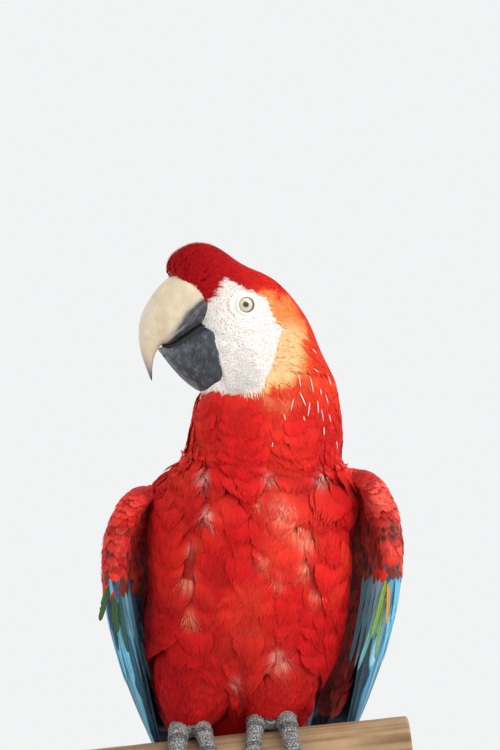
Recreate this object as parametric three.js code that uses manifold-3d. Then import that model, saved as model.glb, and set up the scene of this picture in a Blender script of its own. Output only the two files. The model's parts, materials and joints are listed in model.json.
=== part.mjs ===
// Scarlet macaw (Ara macao), a still life-size model, standing on a short cut of round perch
// that a flat base and one rod hold up. Millimetres, +Z up. The breast faces -Y, the bird's
// left side is +X, and its head is turned to its right, towards -X.
// Origin: the middle of the underside of the stand's base.
import * as THREE from "three";
import { mergeVertices } from "three/addons/utils/BufferGeometryUtils.js";
import Module from "manifold-3d";

const wasm = await Module();
wasm.setup();

// ---------------------------------------------------------------- driving sizes
const GAP = 0.35; // clearance kept between neighbouring pieces
const MOUTH = 1; // how far the bill is open
const PERCH_TOP = 486; // height of the perch's top, at the feet, above the floor
const FEET_X = -15; // sideways place of the point midway between the feet
const PERCH_R = 18; // perch radius
const PERCH_LENGTH = 216;
const PERCH_SLOPE = THREE.MathUtils.degToRad(6); // the perch rises towards the bird's left
const BASE_R = 132;
const BASE_T = 12;
const ROD_R = 8;
const AROUND = 24; // facets around the body
const HEAD_CENTRE = [-9.5, -17, 278]; // midway between the eyes
const HEAD_TURN = THREE.MathUtils.degToRad(75); // how far the head is turned to the right
const HEAD_ROLL = THREE.MathUtils.degToRad(8); // left eye lowered
const HEAD_NOD = THREE.MathUtils.degToRad(0);
const EYE_R = 7.9; // eyeball radius
const EYE_SIDE = 18.2; // eyeball centre from the head's mid-plane
const EYE_FORWARD = 1.5;
const EYE_UP = -2.3;
const TAIL_LENGTH = 462;
const TAIL_LEAN = THREE.MathUtils.degToRad(19); // the tail's slope from the vertical
const BODY_X = -6; // sideways shift of the lower body over the feet

// ---------------------------------------------------------------- small vector helpers
const V = (x, y, z) => new THREE.Vector3(x, y, z);
const clamp01 = (x) => Math.min(1, Math.max(0, x));
const lerp = (a, b, t) => a + (b - a) * t;
// Smooth value at t in 0..1 through evenly spaced values.
function along(values, t) {
  const n = values.length - 1,
    x = clamp01(t) * n,
    i = Math.min(n - 1, Math.floor(x)),
    f = x - i;
  const p = (k) => values[Math.min(n, Math.max(0, k))];
  return (
    0.5 *
    (2 * p(i) +
      (p(i + 1) - p(i - 1)) * f +
      (2 * p(i - 1) - 5 * p(i) + 4 * p(i + 1) - p(i + 2)) * f * f +
      (3 * p(i) - p(i - 1) - 3 * p(i + 1) + p(i + 2)) * f * f * f)
  );
}
const curve = (...points) => (t) =>
  V(
    along(points.map((p) => p[0]), t),
    along(points.map((p) => p[1]), t),
    along(points.map((p) => p[2]), t),
  );

// Head axes: F towards the bill, L to the bird's left, U up.
const HF = V(-Math.sin(HEAD_TURN), -Math.cos(HEAD_TURN), 0);
const HL = V(0, 0, 1).cross(HF).normalize();
HL.applyAxisAngle(HF, -HEAD_ROLL);
const HU = HF.clone().cross(HL).normalize();
HF.applyAxisAngle(HL, HEAD_NOD);
HU.applyAxisAngle(HL, HEAD_NOD);
const HC = V(...HEAD_CENTRE);
const inHead = (f, l, u) =>
  HC.clone().addScaledVector(HF, f).addScaledVector(HL, l).addScaledVector(HU, u);

// ---------------------------------------------------------------- the body as one soft field
// Ellipsoids and tapering rods, blended. The field is about the distance to the surface in mm.
function ellipsoid(centre, radii, axes, k) {
  const c = centre,
    [a, b, w] = axes;
  return {
    k,
    d(p) {
      const q = p.clone().sub(c);
      const x = q.dot(a) / radii[0],
        y = q.dot(b) / radii[1],
        z = q.dot(w) / radii[2];
      const k0 = Math.hypot(x, y, z),
        k1 = Math.hypot(x / radii[0], y / radii[1], z / radii[2]);
      return k1 < 1e-9 ? -Math.min(...radii) : (k0 * (k0 - 1)) / k1;
    },
  };
}
function leaning(centre, radii, lean, k) {
  const t = THREE.MathUtils.degToRad(lean);
  return ellipsoid(
    V(...centre),
    radii,
    [V(1, 0, 0), V(0, Math.cos(t), Math.sin(t)), V(0, -Math.sin(t), Math.cos(t))],
    k,
  );
}
function rod(a, ra, b, rb, k) {
  const ab = b.clone().sub(a),
    l2 = ab.lengthSq();
  return {
    k,
    d(p) {
      const ap = p.clone().sub(a),
        h = clamp01(ap.dot(ab) / l2);
      return ap.addScaledVector(ab, -h).length() - lerp(ra, rb, h);
    },
  };
}
const headPart = (f, l, u, rf, rl, ru, k) =>
  ellipsoid(inHead(f, l, u), [rf, rl, ru], [HF, HL, HU], k);
const BODY = [
  leaning([BODY_X, 7, 80], [64, 47, 66], 20, 20), // belly
  leaning([-1, -10, 124], [62, 44, 50], 12, 24), // breast
  leaning([0, 3, 150], [70, 39, 34], 4, 20), // shoulders
  leaning([BODY_X, 40, 22], [46, 30, 44], 25, 22), // vent
  rod(V(BODY_X, 36, 62), 38, V(BODY_X, 70, -34), 15, 18), // rump and tail coverts
  leaning([8, -4, 190], [49, 42, 48], 0, 12), // lower neck
  leaning([9, -9, 222], [43, 38, 34], 0, 20), // upper neck
  headPart(-23, 0, -27, 28, 28, 31, 16), // nape
  headPart(-1, 0, -2, 31, 24.5, 25, 16), // skull
  headPart(27, 0, 16.5, 23.5, 17.5, 21, 16), // forehead
  headPart(2, 0, -26, 25, 23.5, 31, 14), // cheeks and jaw
];
function field(p) {
  let d = BODY[0].d(p);
  for (const part of BODY.slice(1)) {
    const e = part.d(p),
      h = Math.max(part.k - Math.abs(d - e), 0) / part.k;
    d = Math.min(d, e) - (h * h * part.k) / 4;
  }
  return d;
}
// How far it is from o along d to the surface where the field is level.
function reach(o, d, level) {
  const at = (s) => field(o.clone().addScaledVector(d, s)) - level;
  let lo = 0,
    hi = 3;
  while (at(hi) < 0 && hi < 200) {
    lo = hi;
    hi += 3;
  }
  for (let i = 0; i < 18; i++) {
    const m = (lo + hi) / 2;
    if (at(m) < 0) lo = m;
    else hi = m;
  }
  return (lo + hi) / 2;
}

// ---------------------------------------------------------------- solids from rings
function solidFromRings(rings, startPole, endPole) {
  const n = rings[0].length,
    pos = [],
    idx = [];
  rings.forEach((r) => r.forEach((p) => pos.push(p.x, p.y, p.z)));
  const mean = (r) => r.reduce((s, p) => s.add(p), V(0, 0, 0)).divideScalar(r.length);
  const s = startPole || mean(rings[0]),
    e = endPole || mean(rings[rings.length - 1]);
  const si = pos.length / 3;
  pos.push(s.x, s.y, s.z, e.x, e.y, e.z);
  const last = (rings.length - 1) * n;
  for (let j = 0; j < n; j++) {
    const k = (j + 1) % n;
    idx.push(si, k, j, si + 1, last + j, last + k);
    for (let i = 0; i < rings.length - 1; i++) {
      const a = i * n + j,
        b = i * n + k,
        c = a + n,
        d = b + n;
      idx.push(a, b, d, a, d, c);
    }
  }
  return manifoldOf(pos, idx);
}
function manifoldOf(pos, idx) {
  const make = (tri) =>
    new wasm.Manifold(
      new wasm.Mesh({
        numProp: 3,
        vertProperties: new Float32Array(pos),
        triVerts: new Uint32Array(tri),
      }),
    );
  const m = make(idx);
  if (m.volume() > 0) return m;
  for (let i = 0; i < idx.length; i += 3) [idx[i + 1], idx[i + 2]] = [idx[i + 2], idx[i + 1]];
  return make(idx);
}
function fromGeometry(geometry) {
  const g = geometry.clone();
  g.deleteAttribute("normal");
  g.deleteAttribute("uv");
  const m = mergeVertices(g, 1e-4);
  return manifoldOf([...m.attributes.position.array], [...m.index.array]);
}
// Keeps the part on the side that n points to, at least off along n.
const keepAbove = (m, n, point, shift = 0) =>
  m.trimByPlane([n.x, n.y, n.z], point.dot(n) + shift);
const keepBelow = (m, n, point, shift = 0) =>
  keepAbove(m, n.clone().negate(), point, shift);

// ---------------------------------------------------------------- head, neck and trunk
const SPINE = curve(
  [BODY_X, 62, -16],
  [BODY_X, 50, 12],
  [BODY_X, 34, 44],
  [-6, 16, 78],
  [-2, 4, 112],
  [2, -2, 146],
  [6, -4, 180],
  [7, -8, 212],
  [2, -12, 242],
  [HC.x + 2, HC.y + 1, HC.z - 6],
);
const STATIONS = 22,
  FAN = 4;
function bodySolid(level) {
  const rings = [];
  const ring = (o, t, polar, sign) => {
    const e1 = V(1, 0, 0).addScaledVector(t, -t.x).normalize(),
      e2 = t.clone().cross(e1),
      out = [];
    for (let j = 0; j < AROUND; j++) {
      const a = (2 * Math.PI * j) / AROUND;
      const d = e1.clone().multiplyScalar(Math.cos(a)).addScaledVector(e2, Math.sin(a));
      d.multiplyScalar(Math.sin(polar)).addScaledVector(t, sign * Math.cos(polar));
      out.push(o.clone().addScaledVector(d, reach(o, d, level)));
    }
    return out;
  };
  const tangent = (t) =>
    SPINE(Math.min(1, t + 0.01)).sub(SPINE(Math.max(0, t - 0.01))).normalize();
  for (let i = 1; i < FAN; i++) rings.push(ring(SPINE(0), tangent(0), (i / FAN) * (Math.PI / 2), -1));
  for (let i = 0; i <= STATIONS; i++)
    rings.push(ring(SPINE(i / STATIONS), tangent(i / STATIONS), Math.PI / 2, 1));
  for (let i = 1; i <= FAN; i++)
    rings.push(ring(SPINE(1), tangent(1), (1 - i / (FAN + 1)) * (Math.PI / 2), 1));
  const start = SPINE(0).addScaledVector(tangent(0), -reach(SPINE(0), tangent(0).negate(), level));
  const end = SPINE(1).addScaledVector(tangent(1), reach(SPINE(1), tangent(1), level));
  return solidFromRings(rings, start, end);
}
const body = bodySolid(0);
const bodyClear = bodySolid(GAP); // the same body, swollen by the clearance

// ---------------------------------------------------------------- bill
// Each half is a run of sections between an upper and a lower profile in the head's mid-plane.
function bill(upper, lower, halfWidth, { swell = 0, rows = 12, around = 14, round = 2.3, trough = null } = {}) {
  const rings = [];
  for (let i = 0; i <= rows; i++) {
    const t = i / rows,
      c = [along(upper.map((p) => p[0]), t), along(upper.map((p) => p[1]), t)],
      b = [along(lower.map((p) => p[0]), t), along(lower.map((p) => p[1]), t)],
      w = along(halfWidth, t) + swell;
    const mid = [(c[0] + b[0]) / 2, (c[1] + b[1]) / 2],
      len = Math.hypot(c[0] - b[0], c[1] - b[1]) / 2,
      dir = [(c[0] - b[0]) / (2 * len), (c[1] - b[1]) / (2 * len)];
    const ring = [];
    for (let j = 0; j < around; j++) {
      const a = (2 * Math.PI * j) / around,
        ca = Math.cos(a),
        sa = Math.sin(a);
      let h = Math.sign(ca) * Math.abs(ca) ** (2 / round) * (len + swell);
      const s = Math.sign(sa) * Math.abs(sa) ** (2 / round) * w;
      if (trough && ca > 0) h -= along(trough, t) * Math.max(0, 1 - (s / w) ** 2) ** 0.7;
      ring.push(inHead(mid[0] + dir[0] * h, s, mid[1] + dir[1] * h));
    }
    rings.push(ring);
  }
  return solidFromRings(rings);
}
const upperBill = (swell) =>
  bill(
    [[28, 19], [42.5, 18], [53.5, 9], [61.8, -3.5], [66.2, -17], [64.8, -34], [57.4, -52.5]],
    [[16, -13], [27, -17], [36, -22.5], [45, -29], [52, -30.5], [56, -39.5], [56.6, -53.1]],
    [16.2, 16.8, 15.6, 13, 9, 4.8, 0.7],
    { swell },
  );
const lowerBill = (swell) =>
  bill(
    [[7, -11], [17, -12.5], [26.5, -17], [35.5, -26], [44.5, -31], [52.4, -31.2]],
    [[6, -52], [14, -58], [25, -57], [35.5, -51], [44.5, -42], [51.2, -34]],
    [18.6, 18.8, 16.6, 13, 9.4, 6.4],
    { swell, rows: 8, trough: swell ? null : [7, 7, 6.5, 5.5, 3, 0.6] },
  );

// ---------------------------------------------------------------- eyes
const eyeAt = (side) => inHead(EYE_FORWARD, side * EYE_SIDE, EYE_UP);
const sphere = (r, at, w = 12, h = 7) => {
  const g = new THREE.SphereGeometry(r, w, h);
  g.applyMatrix4(
    new THREE.Matrix4()
      .makeRotationFromQuaternion(new THREE.Quaternion().setFromUnitVectors(V(0, 1, 0), HL))
      .setPosition(at),
  );
  return fromGeometry(g);
};

// ---------------------------------------------------------------- tapering tubes: toes, shanks, claws
function tube(path, radius, { rows = 8, around = 8, pointed = false, squash = 1, up = V(1, 0, 0) } = {}) {
  const rings = [];
  const steps = pointed ? rows : rows;
  for (let i = 0; i <= steps; i++) {
    const t = i / steps;
    if (pointed && i === steps) break;
    const o = path(t),
      tan = path(Math.min(1, t + 0.02)).sub(path(Math.max(0, t - 0.02))).normalize(),
      e1 = up.clone().addScaledVector(tan, -tan.dot(up)).normalize(),
      e2 = tan.clone().cross(e1),
      r = radius(t);
    const ring = [];
    for (let j = 0; j < around; j++) {
      const a = (2 * Math.PI * (j + 0.5)) / around;
      ring.push(o.clone().addScaledVector(e1, r * Math.cos(a)).addScaledVector(e2, r * squash * Math.sin(a)));
    }
    rings.push(ring);
  }
  return solidFromRings(rings, null, pointed ? path(1) : null);
}

// ---------------------------------------------------------------- perch frame
// P runs along the perch, N is square to it and up. turned 0 is the perch's top, positive to the front.
const P = V(Math.cos(PERCH_SLOPE), 0, Math.sin(PERCH_SLOPE)),
  N = V(-Math.sin(PERCH_SLOPE), 0, Math.cos(PERCH_SLOPE));
const onPerch = (x, turned, r) =>
  V(FEET_X, 0, 0)
    .addScaledVector(P, x)
    .addScaledVector(N, -PERCH_R + r * Math.cos(turned))
    .add(V(0, -r * Math.sin(turned), 0));
const perchSolid = (swell) => {
  const g = new THREE.CylinderGeometry(PERCH_R + swell, PERCH_R + swell, PERCH_LENGTH + 2 * swell, 28);
  g.rotateZ(-Math.PI / 2);
  const m = new THREE.Matrix4().makeBasis(P, V(0, 1, 0), N);
  m.setPosition(V(FEET_X + 6, 0, 0).addScaledVector(N, -PERCH_R).addScaledVector(P, 0));
  g.applyMatrix4(m);
  return fromGeometry(g);
};

// ---------------------------------------------------------------- legs
// Two toes point forward and two back. Each has its length in mm, thickness and spread.
const TOES = {
  2: { length: 38, r: 5.5, from: -6.2, to: -12.5, front: true },
  3: { length: 51, r: 5.9, from: 6.4, to: 10.5, front: true },
  1: { length: 27, r: 4.9, from: -5.6, to: -10.5, front: false },
  4: { length: 46, r: 5.6, from: 6.2, to: 11.5, front: false },
};
const CLAW = { length: 18, r: 3.1 };
const FEET = { left: { x: 27, side: 1, spread: 1.25 }, right: { x: -25.5, side: -1, spread: 1 } };
function toePath(foot, toe) {
  const rho = PERCH_R + GAP + toe.r,
    total = toe.length / rho,
    dir = toe.front ? 1 : -1;
  return (t) => {
    const turned = dir * (0.16 + t * total),
      x = foot.x + foot.side * foot.spread * lerp(toe.from, toe.to, t ** 0.8);
    // the toe's tip thins, so that it is drawn in towards the perch
    return onPerch(x, turned, PERCH_R + GAP + toeRadius(toe, t));
  };
}
const toeSolid = (foot, toe, swell) =>
  tube(toePath(foot, toe), (t) => toeRadius(toe, t) + swell, { rows: 6, around: 8 });
const toeRadius = (toe, t) => toe.r * (1.02 - 0.28 * t + 0.07 * Math.sin(t * 3 * Math.PI));
function clawPath(foot, toe) {
  const rho = PERCH_R + GAP + toe.r,
    end = 0.16 + toe.length / rho,
    dir = toe.front ? 1 : -1;
  return (t) => {
    const turned = dir * (end + 0.05 + (t * CLAW.length) / rho),
      x = foot.x + foot.side * foot.spread * (toe.to + 1.0 * t);
    const lift = CLAW.r * (1 - t) ** 0.8 + 0.25 + 1.6 * Math.sin(t * Math.PI);
    return onPerch(x, turned, PERCH_R + GAP + lift);
  };
}
const shankPath = (foot) => (t) =>
  onPerch(foot.x, 0, PERCH_R + GAP + 5).lerp(onPerch(foot.x * 0.98, -0.2, PERCH_R + 26), t);
// The foot is the short scaly shank and the pad that the four toes leave.
const footSolid = (foot, swell) => {
  const pad = new THREE.SphereGeometry(1, 12, 6);
  pad.scale(13 * foot.spread + swell, 12.5 + swell, 8 + swell);
  pad.applyMatrix4(new THREE.Matrix4().makeBasis(P, V(0, 1, 0), N).setPosition(onPerch(foot.x, 0, PERCH_R + 6)));
  return tube(shankPath(foot), (t) => lerp(8.6, 7.4, t) + swell, { rows: 2, around: 10 }).add(fromGeometry(pad));
};
const thigh = (foot) => {
  const low = onPerch(foot.x, 0, PERCH_R + 11),
    high = V(BODY_X + foot.side * 26, 4, 66);
  const path = (t) => low.clone().lerp(high, t);
  return tube(path, (t) => lerp(12, 27, Math.sin((Math.min(1, 1.35 * t) * Math.PI) / 2)), { rows: 5, around: 12 });
};

// ---------------------------------------------------------------- wings
// A folded wing is a run of sections from the wrist down to the tips of the long feathers.
const LEAD = curve(
  [66, -17, 158], [79, -30, 149], [88, -35, 126], [88, -31, 94], [81.5, -18, 59],
  [72, 2, 22], [61, 28, -14], [47, 58, -54], [34, 88, -98], [23, 116, -145], [15, 138, -188],
);
const TRAIL = curve(
  [55, 2, 162], [51, 27, 157], [46, 48, 137], [40, 67, 106], [33, 82, 71],
  [25, 94, 32], [18, 104, -9], [13, 113, -50], [10, 122, -93], [9, 132, -139], [8, 142, -185],
);
const WING_THICK = [7, 13, 15.5, 15, 13, 10, 7.5, 5.5, 4, 3, 1.6]; // half thickness near the leading edge
const WING_BULGE = [4, 9, 14, 18, 20, 19, 15, 11, 7, 4, 1];
const WING_SET = { left: { side: 1, up: 5, out: 0 }, right: { side: -1, up: -6, out: 2 } };
function wingSolid(set, rows = 23, around = 14) {
  const rings = [];
  for (let i = 0; i <= rows; i++) {
    const t = i / rows,
      a = LEAD(t),
      b = TRAIL(t),
      chord = b.clone().sub(a),
      th = along(WING_THICK, t),
      bulge = along(WING_BULGE, t);
    const down = LEAD(Math.min(1, t + 0.03)).sub(LEAD(Math.max(0, t - 0.03))).normalize();
    const out = down.clone().cross(chord).normalize();
    if (out.x < 0) out.negate();
    const cut = t > 0.55 ? 0.1 * ((t * 22) % 1) * (1 - t) : 0; // stepped feather tips on the hind edge
    const ring = [];
    for (let j = 0; j < around; j++) {
      const u = (2 * Math.PI * j) / around,
        s = (1 - Math.cos(u)) / 2,
        half = Math.sin(u) * th * (1.02 - 0.72 * s);
      const p = a
        .clone()
        .addScaledVector(chord, s * (1 - cut))
        .addScaledVector(out, half + bulge * 4 * s * (1 - s) - 2);
      ring.push(V(set.side * (p.x + set.out), p.y, p.z + set.up * clamp01((p.z + 80) / 200)));
    }
    rings.push(ring);
  }
  return solidFromRings(rings);
}

// ---------------------------------------------------------------- tail
// Graduated: each pair of feathers ends further down, so the outline narrows in steps.
const TAIL_ROOT = V(BODY_X, 64, -12);
const tailDir = V(0, Math.sin(TAIL_LEAN), -Math.cos(TAIL_LEAN)),
  tailBack = V(0, Math.cos(TAIL_LEAN), Math.sin(TAIL_LEAN));
const TAIL_PAIRS = [0.42, 0.53, 0.65, 0.77, 0.89, 1.0]; // where each pair ends, as a share of the length
const TAIL_HALF = [33, 30, 26, 22, 18, 13]; // half width just above each of those ends
function tailHalfWidth(s) {
  let w = 0;
  TAIL_PAIRS.forEach((end, i) => {
    if (s > end) return;
    const tip = clamp01((end - s) / 0.075); // each feather's rounded tip
    const own = TAIL_HALF[i] * Math.sqrt(1 - (1 - tip) ** 2);
    w = Math.max(w, own);
  });
  return Math.min(w, 22 + 60 * s) + 0.4;
}
function tailSolid(rows = 32, around = 10) {
  const rings = [];
  for (let i = 0; i <= rows; i++) {
    const s = i / rows,
      o = TAIL_ROOT.clone()
        .addScaledVector(tailDir, s * TAIL_LENGTH)
        .addScaledVector(tailBack, -7 * Math.sin(s * Math.PI)),
      w = tailHalfWidth(s),
      th = lerp(4.2, 1.4, s);
    const ring = [];
    for (let j = 0; j < around; j++) {
      const a = (2 * Math.PI * j) / around,
        x = Math.cos(a) * w,
        tent = -0.3 * Math.abs(x) - 0.004 * x * x;
      ring.push(o.clone().add(V(x, 0, 0)).addScaledVector(tailBack, Math.sin(a) * th + tent));
    }
    rings.push(ring);
  }
  return solidFromRings(rings);
}

// ---------------------------------------------------------------- stand
const toFloor = -PERCH_TOP; // the floor's height in the bird's own frame
const BASE_AT = V(FEET_X, 0, toFloor);
const BEVEL = 2.5;
function baseAt() {
  // a disc and the collar that the rod stands on
  const disc = new THREE.LatheGeometry(
    [
      [0, 0], [BASE_R - 1, 0], [BASE_R, 1], [BASE_R, BASE_T - BEVEL], [BASE_R - BEVEL, BASE_T], [0, BASE_T],
    ].map(([r, z]) => new THREE.Vector2(r, z)),
    36,
  ).rotateX(Math.PI / 2);
  disc.translate(BASE_AT.x, BASE_AT.y, BASE_AT.z);
  const collar = new THREE.LatheGeometry(
    [
      [0, BASE_T - 2], [24, BASE_T - 2], [24, BASE_T + 2], [20, BASE_T + 6], [0, BASE_T + 6],
    ].map(([r, z]) => new THREE.Vector2(r, z)),
    16,
  ).rotateX(Math.PI / 2);
  collar.translate(BASE_AT.x, BASE_AT.y, toFloor);
  return fromGeometry(disc).add(fromGeometry(collar));
}
function rodSolid() {
  const bottom = toFloor + BASE_T + 6 + GAP,
    top = -PERCH_R,
    g = new THREE.CylinderGeometry(ROD_R, ROD_R, top - bottom, 24);
  g.rotateX(Math.PI / 2);
  g.translate(BASE_AT.x, BASE_AT.y, (top + bottom) / 2);
  return fromGeometry(g).subtract(perchSolid(GAP));
}

// ---------------------------------------------------------------- put together
const NECK_CUT = { n: V(-0.42, -0.06, 1).normalize(), at: V(-30, -10, 207) }; // between head and neck
const TRUNK_CUT = { n: V(0, -0.18, 1).normalize(), at: V(0, -10, 168) }; // between neck and trunk

const eyes = { left: sphere(EYE_R, eyeAt(1)), right: sphere(EYE_R, eyeAt(-1)) };
const billUpper = upperBill(0);
const billLower = lowerBill(0).subtract(upperBill(MOUTH));
let head = keepAbove(body, NECK_CUT.n, NECK_CUT.at, GAP / 2);
head = head
  .subtract(upperBill(GAP))
  .subtract(lowerBill(GAP))
  .subtract(sphere(EYE_R + GAP, eyeAt(1)))
  .subtract(sphere(EYE_R + GAP, eyeAt(-1)));
const neck = keepAbove(keepBelow(body, NECK_CUT.n, NECK_CUT.at, GAP / 2), TRUNK_CUT.n, TRUNK_CUT.at, GAP / 2)
  .subtract(lowerBill(GAP));
const trunkWhole = keepBelow(body, TRUNK_CUT.n, TRUNK_CUT.at, GAP / 2);

const tailFull = tailSolid();
const tail = tailFull.subtract(bodyClear);
const perchClear = perchSolid(GAP);
const thighs = {},
  feet = {};
let trunk = trunkWhole.subtract(perchClear);
for (const name of ["left", "right"]) {
  const clear = footSolid(FEET[name], GAP);
  feet[name] = footSolid(FEET[name], 0).subtract(perchClear);
  thighs[name] = thigh(FEET[name]).subtract(bodyClear).subtract(clear).subtract(perchClear);
  trunk = trunk.subtract(clear);
  for (const k of [1, 2, 3, 4]) {
    const around = toeSolid(FEET[name], TOES[k], GAP);
    trunk = trunk.subtract(around);
    thighs[name] = thighs[name].subtract(around);
  }
}

// Each covering part of the wing, and the long flight feathers below it.
const WING_CUT = { n: V(0, -0.42, 0.9).normalize(), at: V(0, 20, 24) };
const wings = {};
for (const name of ["left", "right"]) {
  const whole = wingSolid(WING_SET[name]).subtract(bodyClear);
  wings[name] = {
    coverts: keepAbove(whole, WING_CUT.n, WING_CUT.at, GAP / 2),
    flight: keepBelow(whole, WING_CUT.n, WING_CUT.at, GAP / 2),
  };
}

const COLOURS = {
  red: new THREE.MeshStandardMaterial({ color: 0xc4161a, roughness: 0.75, metalness: 0 }),
  blue: new THREE.MeshStandardMaterial({ color: 0x2a6fb0, roughness: 0.6, metalness: 0 }),
  horn: new THREE.MeshStandardMaterial({ color: 0xe6d6b8, roughness: 0.4, metalness: 0 }),
  black: new THREE.MeshStandardMaterial({ color: 0x2a2d33, roughness: 0.5, metalness: 0 }),
  eye: new THREE.MeshStandardMaterial({ color: 0xcfc88e, roughness: 0.1, metalness: 0 }),
  foot: new THREE.MeshStandardMaterial({ color: 0x55585c, roughness: 0.7, metalness: 0 }),
  wood: new THREE.MeshStandardMaterial({ color: 0x9a7a58, roughness: 0.7, metalness: 0 }),
  steel: new THREE.MeshStandardMaterial({ color: 0x8b8d90, roughness: 0.35, metalness: 1 }),
  dark: new THREE.MeshStandardMaterial({ color: 0x2b2b2d, roughness: 0.45, metalness: 0 }),
};
const macaw = new THREE.Group();
macaw.position.set(-FEET_X, 0, PERCH_TOP);
function put(name, solid, material) {
  // a cut can leave crumbs beside the piece: only its largest body is kept
  const bodies = solid.decompose();
  bodies.sort((a, b) => b.volume() - a.volume());
  const m = bodies[0].getMesh(),
    g = new THREE.BufferGeometry(),
    pos = new Float32Array(m.numVert * 3);
  for (let i = 0; i < m.numVert; i++)
    for (let k = 0; k < 3; k++) pos[3 * i + k] = m.vertProperties[i * m.numProp + k];
  g.setAttribute("position", new THREE.BufferAttribute(pos, 3));
  g.setIndex(new THREE.BufferAttribute(new Uint32Array(m.triVerts), 1));
  g.computeVertexNormals();
  const mesh = new THREE.Mesh(g, material);
  mesh.name = name;
  macaw.add(mesh);
}
put("head", head, COLOURS.red);
put("neck", neck, COLOURS.red);
put("trunk", trunk, COLOURS.red);
put("bill_upper", billUpper, COLOURS.horn);
put("bill_lower", billLower, COLOURS.black);
put("eye_left", eyes.left, COLOURS.eye);
put("eye_right", eyes.right, COLOURS.eye);
put("tail", tail, COLOURS.red);
for (const name of ["left", "right"]) {
  put("wing_" + name + "_coverts", wings[name].coverts, COLOURS.red);
  put("wing_" + name + "_flight", wings[name].flight, COLOURS.blue);
  put("thigh_" + name, thighs[name], COLOURS.red);
  put("foot_" + name, feet[name], COLOURS.foot);
  for (const k of [1, 2, 3, 4]) {
    const toe = TOES[k],
      foot = FEET[name];
    put(
      "toe_" + name + "_" + k,
      toeSolid(foot, toe, 0).subtract(footSolid(foot, GAP)).subtract(perchClear),
      COLOURS.foot,
    );
    put(
      "claw_" + name + "_" + k,
      tube(clawPath(foot, toe), (t) => CLAW.r * (1 - t) ** 0.75 + 0.12, { rows: 5, around: 6, pointed: true }).subtract(perchClear).subtract(toeSolid(foot, toe, GAP)),
      COLOURS.black,
    );
  }
}
put("perch", perchSolid(0), COLOURS.wood);
put("stand_rod", rodSolid(), COLOURS.steel);
put("stand_base", baseAt(), COLOURS.dark);

export default macaw;
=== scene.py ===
# Scarlet macaw on a cut perch, life size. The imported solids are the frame; this script makes the
# skin, feathers, bill, eyes, feet, perch finish and stand finish around them.
import bpy, bmesh, math, json, time
import numpy as np
from mathutils import Vector, Matrix

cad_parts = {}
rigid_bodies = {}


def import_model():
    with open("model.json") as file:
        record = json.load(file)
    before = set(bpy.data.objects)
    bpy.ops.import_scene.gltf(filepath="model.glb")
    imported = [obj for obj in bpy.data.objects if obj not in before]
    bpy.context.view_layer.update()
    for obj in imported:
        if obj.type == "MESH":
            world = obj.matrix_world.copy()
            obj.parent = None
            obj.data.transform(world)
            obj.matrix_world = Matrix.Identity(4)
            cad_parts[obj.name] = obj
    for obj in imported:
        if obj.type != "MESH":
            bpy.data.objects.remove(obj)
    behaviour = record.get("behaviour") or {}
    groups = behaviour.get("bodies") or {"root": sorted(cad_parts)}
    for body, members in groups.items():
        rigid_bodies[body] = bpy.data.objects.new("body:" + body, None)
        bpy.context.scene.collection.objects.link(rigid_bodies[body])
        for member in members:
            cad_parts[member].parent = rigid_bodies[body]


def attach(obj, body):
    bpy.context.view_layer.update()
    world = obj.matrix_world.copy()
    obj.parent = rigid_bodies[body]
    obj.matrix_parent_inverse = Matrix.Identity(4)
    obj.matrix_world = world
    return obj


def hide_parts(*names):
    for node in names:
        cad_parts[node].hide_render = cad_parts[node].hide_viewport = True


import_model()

for _o in [o for o in bpy.data.objects if o.name in ("Cube", "Light", "Camera")]:
    bpy.data.objects.remove(_o)
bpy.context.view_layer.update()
RNG = np.random.default_rng(20)
rad = math.radians
T0 = time.time()


def tick(what):
    print("%-22s %.1f s" % (what, time.time() - T0))

# ------------------------------------------------------------------ sizes shared with the solids (mm)
PERCH_TOP, FEET_X = 486.0, -15.0
PERCH_R, PERCH_LENGTH, PERCH_SLOPE = 18.0, 216.0, rad(6)
BASE_R, BASE_T, ROD_R, GAP = 132.0, 12.0, 8.0, 0.35
HC = np.array([-9.5, -17.0, 278.0])
HEAD_TURN, HEAD_ROLL = rad(75), rad(8)
EYE_R, EYE_F, EYE_L, EYE_U = 7.9, 1.5, 18.2, -2.3
LID_R = 4.75
BODY_X = -6.0
TAIL_LENGTH, TAIL_LEAN = 462.0, rad(19)
OFF = np.array([-FEET_X, 0.0, PERCH_TOP])


def world(p):
    return (np.asarray(p, float) + OFF) * 0.001


def unit(v):
    v = np.asarray(v, float)
    return v / np.maximum(np.linalg.norm(v, axis=-1, keepdims=True), 1e-12)


def smooth(a, b, x):
    t = np.clip((np.asarray(x, float) - a) / (b - a), 0, 1)
    return t * t * (3 - 2 * t)


def lerp(a, b, t):
    return a + (b - a) * t


def along(values, t):
    """Catmull-Rom value at t in 0..1 through evenly spaced values (n,) or (n,k)."""
    v = np.asarray(values, float)
    t = np.asarray(t, float)
    n = len(v) - 1
    x = np.clip(t, 0, 1) * n
    i = np.minimum(n - 1, np.floor(x).astype(int))
    f = x - i
    P = lambda k: v[np.clip(k, 0, n)]
    if v.ndim == 2:
        f = f[..., None]
    return 0.5 * (2 * P(i) + (P(i + 1) - P(i - 1)) * f + (2 * P(i - 1) - 5 * P(i) + 4 * P(i + 1) - P(i + 2)) * f * f
                  + (3 * P(i) - P(i - 1) - 3 * P(i + 1) + P(i + 2)) * f ** 3)


def rotate(v, axis, a):
    axis = unit(axis)
    return v * math.cos(a) + np.cross(axis, v) * math.sin(a) + axis * np.dot(axis, v) * (1 - math.cos(a))


HF = np.array([-math.sin(HEAD_TURN), -math.cos(HEAD_TURN), 0.0])
HL = unit(np.cross([0, 0, 1.0], HF))
HL = rotate(HL, HF, -HEAD_ROLL)
HU = unit(np.cross(HF, HL))


def in_head(f, l, u):
    f, l, u = (np.asarray(x, float)[..., None] for x in np.broadcast_arrays(f, l, u))
    return HC + f * HF + l * HL + u * HU


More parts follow.
